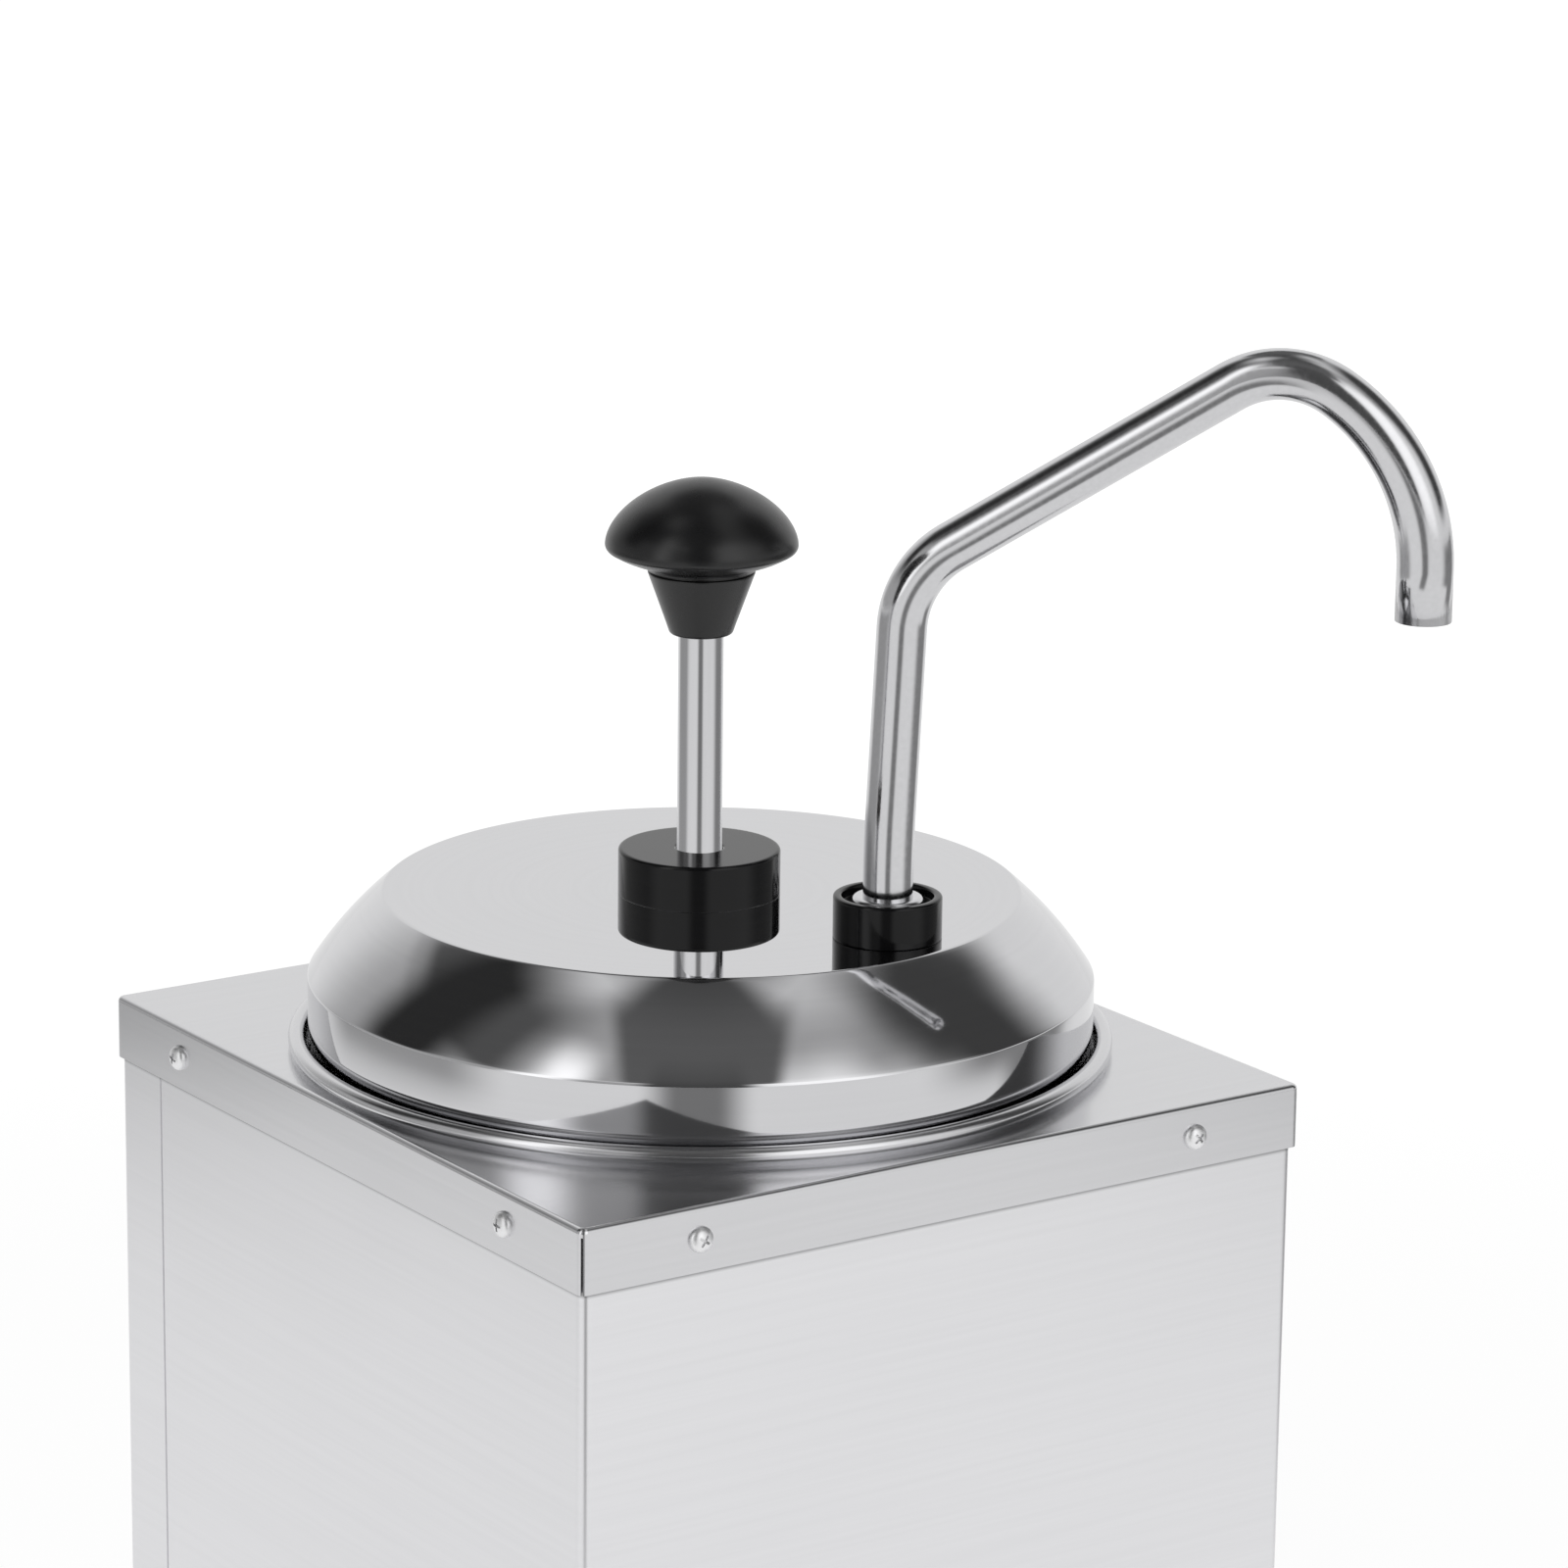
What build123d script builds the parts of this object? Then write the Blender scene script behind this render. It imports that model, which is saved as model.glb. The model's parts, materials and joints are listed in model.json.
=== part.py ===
from build123d import *
import os
from math import cos, radians, sin, sqrt

# Hot topping warmer with a lift-out pot and a hand pump. Millimetres.
# X runs across the front, -Y faces the user, Z is up, and the origin lies on the counter
# under the middle of the case.

os.makedirs("parts", exist_ok=True)

ON_BASE = (Align.CENTER, Align.CENTER, Align.MIN)
UNDER = (Align.CENTER, Align.CENTER, Align.MAX)

# ---------------------------------------------------------------- driving sizes
# Case
cap_w = 196.0  # cap across the front
cap_d = 208.0  # cap front to rear
cap_t = 0.8
cap_bend = 1.2
cap_corner = 1.8
corner_slit = 0.5  # open seam where two flanges meet
flange_h = 15.0
fit_gap = 0.1  # between sheets that slide together
wrap_t = 0.8
rear_t = 0.8
rear_lap = 19.0  # how far the rear panel wraps round each side
bend_r = 1.8
pan_t = 1.0
pan_lip = 15.0
foot_h = 12.0
foot_r_top = 11.0
foot_r_bottom = 9.0
foot_inset_x = 20.0
foot_inset_y = 22.0

# Sheet screws
screw_head_r = 3.0
screw_head_h = 2.0
screw_shank_r = 1.7
screw_len = 7.0
screw_drop = 7.5  # screw line below the deck
screw_rise = 8.0  # screw line above the pan
side_screw_inset = 31.3
face_screw_inset = 30.5

# Pot
pot_y = -2.0  # the pot stands this far towards the user
rim_inset = 1.5  # rolled rim to the side of the cap
bead_r = 2.0
pot_t = 0.7
pot_depth = 186.0
pot_ledge = 6.0  # lid seat below the deck
pot_step = 8.0  # how far the wall steps in at the seat
pot_corner = 12.0
seat_gap = 0.3  # parts that lift off rest with this gap

# Well
well_t = 0.8
well_clear = 0.4  # pot wall to deck hole
water_side = 2.8
water_under = 7.0
heater_room = 32.5  # from the pan up to the well
well_step_top = 10.0
well_step_h = 6.0
well_corner = 10.0
wrap_thick = 5.0  # insulation
bulb_room = 2.0  # between the bulb's top and the insulation

# Lid
lid_rise = 37.2  # flat top above the deck
shoulder_run = 17.5  # how far the shoulder leans in
lid_gap = 0.6
lid_t = 0.9
skirt_top = 17.4  # shoulder meets skirt, above the deck
shoulder_bulge = 1.4

# Plunger and pump; heights count from the lid's flat top, up is plus
row_inset = 18.0  # the row of pump and tube lies this far behind the flat's front
pump_inset = 16.352  # pump axis to the pot's wall
row_pitch = 51.35
rod_r = 5.0
run_clear = 0.08
neck_r = 5.6
neck_low = -20.0
collar_r = 18.0
collar_low = 9.1
collar_seam = 18.2
collar_high = 28.4
bush_r = 8.0
bush_h = 8.0
head_r = 14.5
head_h = 12.0
head_socket = 6.0
cyl_r = 13.5
cyl_t = 1.2
piston_h = 12.0
seal_h = 3.2
seal_depth = 2.7
stud_r = 3.0
nut_h = 5.0
nut_af = 10.0
spring_wire = 1.6
spring_r = 9.4
spring_turns = 14

# Valve block
block_clear = 11.2  # from the pot's floor up to the block
block_h = 22.0
block_tube_r = 9.0
boss_h = 12.0  # tube boss above the block
tube_socket = 8.0
port_r = 3.5
ball_r = 4.5
ball_gap = 0.3
cage_r = 5.4
chamber_r = 7.0
channel_r = 3.0
seat_plug_r = 8.0
seat_plug_h = 5.0

# Discharge tube
tube_r = 5.7
tube_wall = 0.8
spout_turn = -45.0  # spout direction seen from above, 0 is +X
lean = 2.5
lean_r = 400.0
lean_start = 12.0
lean_run = 42.6
knee_r = 24.0
rise_angle = 32.5
rise_run = 73.1
arch_r = 21.5  # the arch bends tightly at first
arch_turn = 67.0
drop_r = 46.0  # then gently until it points down
drop_run = 0.5
tip_r = 6.35  # the outlet is belled
bell_h = 6.0
tip_run = 5.7
bush_head_r = 12.45
bush_head_h = 9.9
bush_lip = 2.0
bush_recess = 2.2
bush_shank_r = 8.8
ferrule_r = 8.4
ferrule_h = 2.0
bush_shank = 8.0
bush_nut_af = 24.0
bush_nut_h = 5.5

# Knob, each part of its height on top of the last
knob_low = 76.9  # above the lid's flat top
knob_foot_r = 5.4
knob_flare_h = 2.6
knob_waist_r = 7.75
knob_stem_h = 12.6
knob_neck_r = 12.3
knob_under_r = 13.2
knob_bevel_h = 0.5
knob_lip_r = 18.8
knob_lip_h = 2.2
knob_wide_r = 21.2
knob_edge_h = 2.2
knob_crown_r = 16.4
knob_shoulder_h = 8.2
knob_dome_h = 6.4
knob_socket = 12.0
knob_groove_drop = 1.2  # below the top of the stem
knob_groove_r = 11.1
knob_groove_h = 0.6

# Controls, low on the front in the two corners that the round well leaves free
control_inset = 28.0  # from the side of the cap
control_z = 62.0
lamp_z = 96.0
dial_r = 21.0
dial_skirt_h = 5.0
dial_h = 18.0
dial_gap = 0.6
grip_w = 9.0
shaft_r = 3.0
thermo_w = 34.0
thermo_d = 17.0
thermo_neck_r = 4.8
thermo_neck_h = 2.0
thermo_screw_span = 28.0
bulb_r = 2.75
bulb_h = 38.0
bulb_angle = -35.0
capillary_r = 0.8
switch_w = 22.0
switch_h = 30.0
switch_body_w = 19.0
switch_body_h = 27.0
switch_depth = 20.0
switch_tab_z = 7.0
bezel_h = 2.4
rocker_w = 14.6
rocker_h = 21.4
rocker_tilt = 11.0  # each way from level
rocker_dish = 2.0
rocker_out = 7.5
rocker_in = 4.0
rocker_pivot = 2.0  # behind the front sheet's face
rocker_pin_r = 1.2
lamp_r = 7.0
lamp_body_r = 5.5
lamp_depth = 24.0
lamp_bezel_h = 1.6
lens_r = 5.2
lens_h = 4.6

# Heater and wiring
spreader_r = 58.0
spreader_t = 4.0
spreader_hole_r = 13.0
element_r = 44.0
element_wire_r = 3.3
element_gap = 40.0  # degrees left open towards the front
element_pin_r = 2.2
element_ends = (0.01, 0.99)  # pins stand this far along the ring
element_tail = 9.0
clamp_t = 2.0
clamp_r = 56.0
stud_x = 26.0
heater_stud_r = 2.5
heater_nut_af = 8.0
heater_nut_h = 4.0
limit_r = 8.5
limit_h = 9.0
tab_w = 6.3
tab_t = 0.8
tab_h = 8.0
block_w = 34.0
block_d = 18.0
block_tall = 14.0
lead_r = 1.3
lead_turn = 2.5

# Mains inlet at the rear
inlet_inset = 36.0  # from the side of the cap
inlet_z = 50.0
inlet_w = 27.0
inlet_hh = 20.0
inlet_depth = 22.0
inlet_wall = 1.6
inlet_flange_w = 50.0
inlet_flange_h = 24.0
inlet_flange_t = 3.0
inlet_screw_span = 40.0
inlet_recess = 16.0
pin_w = 2.0
pin_l = 4.0
pin_out = 10.0
pin_span = 7.0

# Slots
slot_l = 26.0
slot_w = 3.0
slot_pitch = 8.0
slot_rows = 4

# ---------------------------------------------------------------- derived places
deck_over_floor = pot_depth + pot_t + water_under + well_t
cap_top = foot_h + pan_t + heater_room + deck_over_floor  # deck above the counter
deck_under = cap_top - cap_t
rear_x = cap_w / 2 - cap_t - fit_gap  # outer face of the rear panel's laps
rear_y = cap_d / 2 - cap_t - fit_gap
wrap_x = rear_x - rear_t  # outer face of the body wrap
wrap_y = rear_y - rear_t
wrap_in_x = wrap_x - wrap_t
wrap_in_y = wrap_y - wrap_t
shell_h = deck_under - foot_h
lap_y = rear_y - rear_lap

foot_x = cap_w / 2 - foot_inset_x
foot_y = cap_d / 2 - foot_inset_y
side_screw_y = cap_d / 2 - side_screw_inset
face_screw_x = cap_w / 2 - face_screw_inset
control_x = cap_w / 2 - control_inset
inlet_x = inlet_inset - cap_w / 2

rim_r = min(cap_w, cap_d + 2 * pot_y) / 2 - rim_inset  # the pot fits the narrower way
bead_major = rim_r - bead_r
bead_z = cap_top + seat_gap + bead_r
pot_in_r = bead_major - bead_r
pot_out_r = pot_in_r + pot_t
deck_hole_r = pot_out_r + well_clear
ledge_z = cap_top - pot_ledge
pot_low_r = pot_out_r - pot_step
pot_floor = cap_top - pot_depth
pot_under = pot_floor - pot_t
well_r = deck_hole_r + well_t
well_low_r = pot_low_r + water_side + well_t
well_floor = pot_under - water_under
well_under = well_floor - well_t
bulb_z = well_under + well_corner
wrap_low = bulb_z + bulb_h + bulb_room

lid_top = cap_top + lid_rise
skirt_r = pot_in_r - lid_gap
lid_low = ledge_z + seat_gap
lid_flat_r = skirt_r - shoulder_run
lid_under = lid_top - lid_t

screw_z_top = cap_top - screw_drop
screw_z_low = foot_h + screw_rise
thermo_screw_spots = [(control_x, control_z + side * thermo_screw_span / 2) for side in (-1, 1)]
front_in = -wrap_in_y  # inner face of the front
front_out = -wrap_y
rear_in = rear_y - rear_t

row_y = pot_y - lid_flat_r + row_inset
pump_reach = pot_low_r - pot_t - pump_inset
pump_x = -sqrt(pump_reach**2 - (row_y - pot_y) ** 2)
tube_x = pump_x + row_pitch
cyl_in_r = cyl_r - cyl_t
piston_top = neck_low - seal_h - ball_gap  # the piston stops under the rod seal
block_low = pot_floor + block_clear
block_top = block_low + block_h
cyl_low = block_top - lid_top
channel_z = block_low + seat_plug_h + ball_r * 2 + 1.5
suction_seat_z = block_low + seat_plug_h
discharge_seat_z = channel_z + channel_r + 1.0
tube_end = block_top + boss_h - tube_socket
spreader_z = well_under - spreader_t
knob_waist_z = knob_low + knob_flare_h
knob_neck_z = knob_waist_z + knob_stem_h
knob_under_z = knob_neck_z + knob_bevel_h
knob_lip_z = knob_under_z + knob_lip_h
knob_wide_z = knob_lip_z + knob_edge_h
knob_crown_z = knob_wide_z + knob_shoulder_h
knob_top = knob_crown_z + knob_dome_h
knob_groove_z = knob_neck_z - knob_groove_drop
element_z = spreader_z - element_wire_r
clamp_z = element_z - element_wire_r - clamp_t

pot_axis = Axis((0, pot_y, 0), (0, 0, 1))
pot_plane = Plane((0, pot_y, 0), x_dir=(1, 0, 0), z_dir=(0, -1, 0))
pump_axis = Axis((pump_x, row_y, 0), (0, 0, 1))
pump_plane = Plane((pump_x, row_y, lid_top), x_dir=(1, 0, 0), z_dir=(0, -1, 0))
front_plane = Plane((0, front_out, 0), x_dir=(1, 0, 0), z_dir=(0, -1, 0))
rear_plane = Plane((0, rear_y, 0), x_dir=(-1, 0, 0), z_dir=(0, 1, 0))


def tangent_seat(ball, hole):
    """Height of a ball's centre above the edge of the round hole it rests on."""
    return sqrt(ball**2 - hole**2)


def face_places(z, side, front, rear):
    """Two fastener planes on each upright face, facing outwards, at one height."""
    ends = ((side_screw_y, 1), (-side_screw_y, 1), (side_screw_y, -1), (-side_screw_y, -1))
    sides = [Plane((s * side, y, z), x_dir=(0, s, 0), z_dir=(s, 0, 0)) for y, s in ends]
    across = (-face_screw_x, face_screw_x)
    fronts = [Plane((x, -front, z), x_dir=(1, 0, 0), z_dir=(0, -1, 0)) for x in across]
    rears = [Plane((x, rear, z), x_dir=(-1, 0, 0), z_dir=(0, 1, 0)) for x in across]
    return [p.location for p in sides + fronts + rears]


def pan_screw(head_r, head_h, shank_r, length):
    """Pan head screw with a cross recess, its head sitting on the plane's origin."""
    with BuildPart(mode=Mode.PRIVATE) as screw:
        Cylinder(shank_r, length, align=UNDER)
        Cylinder(head_r, head_h, align=ON_BASE)
        fillet(screw.faces().sort_by(Axis.Z)[-1].edges(), head_h * 0.6)
        with BuildSketch(Plane.XY.offset(head_h)):
            Rectangle(head_r * 1.1, head_r * 0.24)
            Rectangle(head_r * 0.24, head_r * 1.1)
        extrude(amount=-head_h * 0.5, mode=Mode.SUBTRACT)
    return screw.part


cap_screw_places = face_places(screw_z_top, cap_w / 2, cap_d / 2, cap_d / 2)
base_screw_places = face_places(screw_z_low, wrap_x, wrap_y, rear_y)
foot_places = [(sx * foot_x, sy * foot_y) for sx in (-1, 1) for sy in (-1, 1)]

# ---------------------------------------------------------------- case
with BuildPart() as top_cap:
    with BuildSketch(Plane.XY.offset(cap_top - flange_h)):
        RectangleRounded(cap_w, cap_d, cap_corner)
    extrude(amount=flange_h)
    fillet(top_cap.faces().sort_by(Axis.Z)[-1].edges(), cap_bend)
    with BuildSketch(Plane.XY.offset(cap_top - flange_h)):
        RectangleRounded(cap_w - 2 * cap_t, cap_d - 2 * cap_t, cap_corner - cap_t)
    extrude(amount=flange_h - cap_t, mode=Mode.SUBTRACT)
    with Locations((0, pot_y, cap_top)):
        Cylinder(deck_hole_r, 4 * cap_t, mode=Mode.SUBTRACT)
    with BuildSketch(Plane.XY.offset(cap_top - flange_h)):
        with Locations((-cap_w / 2, -cap_d / 2), (cap_w / 2, cap_d / 2)):
            Rectangle(corner_slit, 4 * cap_corner, rotation=-45)
        with Locations((cap_w / 2, -cap_d / 2), (-cap_w / 2, cap_d / 2)):
            Rectangle(corner_slit, 4 * cap_corner, rotation=45)
    extrude(amount=flange_h - cap_bend - cap_t, mode=Mode.SUBTRACT)
    with Locations(*cap_screw_places):
        Cylinder(screw_shank_r, 6 * cap_t, mode=Mode.SUBTRACT)

sheet_screw = pan_screw(screw_head_r, screw_head_h, screw_shank_r, screw_len)
with BuildPart() as cap_screws:
    with Locations(*cap_screw_places):
        add(sheet_screw)

with BuildPart() as base_screws:
    with Locations(*base_screw_places):
        add(sheet_screw)

with BuildPart() as body_wrap:
    wrap_back = rear_in - bend_r
    with BuildSketch(Plane.XY.offset(foot_h)) as outside:
        with Locations((0, wrap_back)):
            Rectangle(2 * wrap_x, wrap_back + wrap_y, align=(Align.CENTER, Align.MAX))
        fillet(outside.vertices().group_by(Axis.Y)[0], bend_r)
    extrude(amount=shell_h)
    with BuildSketch(Plane.XY.offset(foot_h)) as inside:
        with Locations((0, wrap_back)):
            Rectangle(2 * wrap_in_x, wrap_back + wrap_in_y, align=(Align.CENTER, Align.MAX))
        fillet(inside.vertices().group_by(Axis.Y)[0], bend_r - wrap_t)
    extrude(amount=shell_h, mode=Mode.SUBTRACT)
    with Locations(*cap_screw_places, *base_screw_places):
        Cylinder(screw_shank_r, 8 * wrap_t, mode=Mode.SUBTRACT)
    with BuildSketch(front_plane):
        with Locations((control_x, control_z)):
            Circle(thermo_neck_r)
        with Locations(*thermo_screw_spots):
            Circle(screw_shank_r)
        with Locations((-control_x, control_z)):
            Rectangle(switch_body_w, switch_body_h)
        with Locations((-control_x, lamp_z)):
            Circle(lamp_body_r)
    extrude(amount=-2 * wrap_t, mode=Mode.SUBTRACT)

with BuildPart() as rear_panel:
    with BuildSketch(Plane.XY.offset(foot_h)) as outside:
        with Locations((0, lap_y)):
            Rectangle(2 * rear_x, rear_lap, align=(Align.CENTER, Align.MIN))
        fillet(outside.vertices().group_by(Axis.Y)[-1], bend_r)
    extrude(amount=shell_h)
    with BuildSketch(Plane.XY.offset(foot_h)) as inside:
        with Locations((0, lap_y)):
            Rectangle(2 * wrap_x, rear_lap - rear_t, align=(Align.CENTER, Align.MIN))
        fillet(inside.vertices().group_by(Axis.Y)[-1], bend_r - rear_t)
    extrude(amount=shell_h, mode=Mode.SUBTRACT)
    with Locations(*cap_screw_places, *base_screw_places):
        Cylinder(screw_shank_r, 8 * rear_t, mode=Mode.SUBTRACT)
    with BuildSketch(rear_plane):
        with Locations((-inlet_x, inlet_z)):
            Rectangle(inlet_w, inlet_hh)
            with Locations((-inlet_screw_span / 2, 0), (inlet_screw_span / 2, 0)):
                Circle(screw_shank_r)
        with Locations((0, cap_top * 0.72)):
            with GridLocations(slot_l * 1.4, slot_pitch, 3, slot_rows):
                SlotOverall(slot_l, slot_w)
    extrude(amount=-2 * rear_t, mode=Mode.SUBTRACT)

with BuildPart() as base_pan:
    pan_x = wrap_in_x - fit_gap
    pan_front = wrap_in_y - fit_gap
    pan_rear = rear_in - fit_gap
    pan_mid = (pan_rear - pan_front) / 2
    with BuildSketch(Plane.XY.offset(foot_h)):
        with Locations((0, pan_mid)):
            RectangleRounded(2 * pan_x, pan_front + pan_rear, bend_r)
    extrude(amount=pan_lip)
    with BuildSketch(Plane.XY.offset(foot_h + pan_t)):
        with Locations((0, pan_mid)):
            RectangleRounded(2 * (pan_x - pan_t), pan_front + pan_rear - 2 * pan_t, bend_r - pan_t)
    extrude(amount=pan_lip, mode=Mode.SUBTRACT)
    with Locations(*base_screw_places):
        Cylinder(screw_shank_r, 10 * pan_t, mode=Mode.SUBTRACT)
    with BuildSketch(Plane.XY.offset(foot_h)):
        with Locations(*foot_places):
            Circle(screw_shank_r)
        with GridLocations(slot_l * 1.4, slot_pitch, 3, slot_rows):
            SlotOverall(slot_l, slot_w)
    extrude(amount=pan_t, mode=Mode.SUBTRACT)


def foot(x, y):
    """Rubber foot with a recess for its screw head."""
    with BuildPart(mode=Mode.PRIVATE) as rubber:
        with Locations((x, y, 0)):
            Cone(foot_r_bottom, foot_r_top, foot_h, align=ON_BASE)
            Cylinder(screw_head_r * 1.5, foot_h / 2, align=ON_BASE, mode=Mode.SUBTRACT)
            Cylinder(screw_shank_r, foot_h, align=ON_BASE, mode=Mode.SUBTRACT)
        fillet(rubber.faces().sort_by(Axis.Z)[0].outer_wire().edges(), 1.0)
    return rubber.part


with BuildPart() as foot_front_left:
    add(foot(-foot_x, -foot_y))

with BuildPart() as foot_front_right:
    add(foot(foot_x, -foot_y))

with BuildPart() as foot_rear_left:
    add(foot(-foot_x, foot_y))

with BuildPart() as foot_rear_right:
    add(foot(foot_x, foot_y))

foot_screw = pan_screw(screw_head_r, screw_head_h, screw_shank_r, foot_h / 2 + pan_t + nut_h)
with BuildPart() as foot_screws:
    with Locations(*[Plane((x, y, foot_h / 2), z_dir=(0, 0, -1)).location for x, y in foot_places]):
        add(foot_screw)

with BuildPart() as foot_nuts:
    with BuildSketch(Plane.XY.offset(foot_h + pan_t)):
        with Locations(*foot_places):
            RegularPolygon(screw_shank_r * 2, 6)
            Circle(screw_shank_r, mode=Mode.SUBTRACT)
    extrude(amount=screw_shank_r * 1.6)

# ---------------------------------------------------------------- well and heater
with BuildPart() as well:
    with BuildSketch(pot_plane):
        with BuildLine():
            FilletPolyline(
                (well_r, deck_under),
                (well_r, cap_top - well_step_top),
                (well_low_r, cap_top - well_step_top - well_step_h),
                (well_low_r, well_under),
                (0, well_under),
                radius=(2 * well_t + 1, 2 * well_t, well_corner),
            )
            offset(amount=well_t, side=Side.RIGHT)
        make_face()
    revolve(axis=pot_axis)

with BuildPart() as insulation:
    with BuildSketch(Plane.XY.offset(wrap_low)):
        with Locations((0, pot_y)):
            Circle(well_low_r + wrap_thick)
            Circle(well_low_r + fit_gap, mode=Mode.SUBTRACT)
    extrude(amount=cap_top - well_step_top - well_step_h - 2 * well_t - wrap_low)

with BuildPart() as heat_spreader:
    with BuildSketch(Plane.XY.offset(spreader_z)):
        with Locations((0, pot_y)):
            Circle(spreader_r)
            Circle(spreader_hole_r, mode=Mode.SUBTRACT)
            with Locations((-stud_x, 0), (stud_x, 0)):
                Circle(heater_stud_r, mode=Mode.SUBTRACT)
    extrude(amount=spreader_t)

with BuildPart() as heating_element:
    with BuildLine(Plane((0, pot_y, element_z))) as element_path:
        CenterArc((0, 0), element_r, -90 + element_gap / 2, 360 - element_gap)
    with BuildSketch(Plane(element_path.line @ 0, z_dir=element_path.line % 0)):
        Circle(element_wire_r)
    sweep(path=element_path.line)
    with Locations(*[element_path.line @ end for end in element_ends]):
        Cylinder(element_pin_r, element_wire_r + element_tail, align=UNDER)

with BuildPart() as heater_clamp:
    with BuildSketch(Plane.XY.offset(clamp_z)):
        with Locations((0, pot_y)):
            Circle(clamp_r)
            Circle(spreader_hole_r, mode=Mode.SUBTRACT)
            with Locations((-stud_x, 0), (stud_x, 0)):
                Circle(heater_stud_r, mode=Mode.SUBTRACT)
        with Locations((0, pot_y - spreader_hole_r - 2 * element_wire_r)):
            Rectangle(element_r, clamp_r, align=(Align.CENTER, Align.MAX), mode=Mode.SUBTRACT)
    extrude(amount=clamp_t)

with BuildPart() as heater_studs:
    with Locations((-stud_x, pot_y, well_under), (stud_x, pot_y, well_under)):
        Cylinder(heater_stud_r, well_under - clamp_z + heater_nut_h + 2, align=UNDER)

with BuildPart() as heater_nuts:
    with BuildSketch(Plane.XY.offset(clamp_z)):
        with Locations((-stud_x, pot_y), (stud_x, pot_y)):
            RegularPolygon(heater_nut_af / 2, 6, major_radius=False)
            Circle(heater_stud_r, mode=Mode.SUBTRACT)
    extrude(amount=-heater_nut_h)

with BuildPart() as hi_limit:
    with Locations((0, pot_y, well_under)):
        Cylinder(limit_r, limit_h, align=UNDER)
    with BuildSketch(Plane.XY.offset(well_under - limit_h)):
        with Locations((-limit_r / 2, pot_y), (limit_r / 2, pot_y)):
            Rectangle(tab_t, tab_w)
    extrude(amount=-tab_h)

# ---------------------------------------------------------------- front controls
with BuildPart() as thermostat:
    with Locations((control_x, front_in, control_z)):
        Box(thermo_w, thermo_d, thermo_w, align=(Align.CENTER, Align.MIN, Align.CENTER))
    fillet(thermostat.edges().filter_by(Axis.Y), 2.0)
    with BuildSketch(front_plane.offset(-wrap_t)):
        with Locations((control_x, control_z)):
            Circle(thermo_neck_r)
    extrude(amount=wrap_t + thermo_neck_h)
    with BuildSketch(front_plane.offset(thermo_neck_h)):
        with Locations((control_x, control_z)):
            Circle(shaft_r + run_clear)
    extrude(amount=-thermo_d, mode=Mode.SUBTRACT)
    with BuildSketch(front_plane):
        with Locations(*thermo_screw_spots):
            Circle(screw_shank_r)
    extrude(amount=-screw_len - wrap_t, mode=Mode.SUBTRACT)

with BuildPart() as thermostat_screws:
    places = [Plane((x, front_out, z), x_dir=(1, 0, 0), z_dir=(0, -1, 0)) for x, z in thermo_screw_spots]
    with Locations(*[p.location for p in places]):
        add(pan_screw(screw_head_r, screw_head_h, screw_shank_r, screw_len))

bulb_out = well_low_r + bulb_r
bulb_x = bulb_out * cos(radians(bulb_angle))
bulb_y = pot_y + bulb_out * sin(radians(bulb_angle))
with BuildPart() as thermostat_bulb:
    with Locations((bulb_x, bulb_y, bulb_z)):
        Cylinder(bulb_r, bulb_h, align=ON_BASE)
    with BuildLine() as capillary_path:
        Spline(
            (control_x, front_in + thermo_d, control_z - thermo_w / 4),
            (bulb_x, bulb_y, bulb_z),
            tangents=((0, 1, 0), (0, 0, 1)),
        )
    with BuildSketch(Plane(capillary_path.line @ 0, z_dir=(0, 1, 0))):
        Circle(capillary_r)
    sweep(path=capillary_path.line)

dial_plane = front_plane.offset(thermo_neck_h + dial_gap)
with BuildPart() as control_dial:
    with BuildSketch(dial_plane):
        with Locations((control_x, control_z)):
            Circle(dial_r)
    extrude(amount=dial_skirt_h, taper=8)
    with BuildSketch(dial_plane.offset(dial_skirt_h)):
        with Locations((control_x, control_z)):
            Circle(dial_r * 0.72)
    extrude(amount=dial_h * 0.3, taper=10)
    with BuildSketch(dial_plane.offset(dial_skirt_h)):
        with Locations((control_x, control_z)):
            SlotOverall(dial_r * 1.5, grip_w, rotation=90)
    extrude(amount=dial_h - dial_skirt_h, taper=6)
    with BuildSketch(dial_plane):
        with Locations((control_x, control_z)):
            Circle(shaft_r)
    extrude(amount=dial_h / 2, mode=Mode.SUBTRACT)

with BuildPart() as dial_shaft:
    with BuildSketch(dial_plane.offset(dial_h / 2)):
        with Locations((control_x, control_z)):
            Circle(shaft_r)
    extrude(amount=-dial_h / 2 - dial_gap - thermo_neck_h - thermo_d / 2)

rocker_axis_y = front_out + rocker_pivot
with BuildPart() as switch_housing:
    with BuildSketch(front_plane):
        with Locations((-control_x, control_z)):
            RectangleRounded(switch_w, switch_h, 1.5)
    extrude(amount=bezel_h)
    with BuildSketch(front_plane):
        with Locations((-control_x, control_z)):
            Rectangle(switch_body_w, switch_body_h)
    extrude(amount=-switch_depth)
    with BuildSketch(front_plane.offset(bezel_h)):
        with Locations((-control_x, control_z)):
            Rectangle(rocker_w + 0.8, rocker_h + 1.4)
    extrude(amount=-switch_depth * 0.75, mode=Mode.SUBTRACT)
    with Locations((-control_x, rocker_axis_y, control_z)):
        Cylinder(rocker_pin_r, switch_body_w, rotation=(0, 90, 0), mode=Mode.SUBTRACT)
    with BuildSketch(front_plane.offset(-switch_depth)):
        with Locations((-control_x, control_z - switch_tab_z), (-control_x, control_z + switch_tab_z)):
            Rectangle(tab_w, tab_t)
    extrude(amount=-tab_h)

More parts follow.
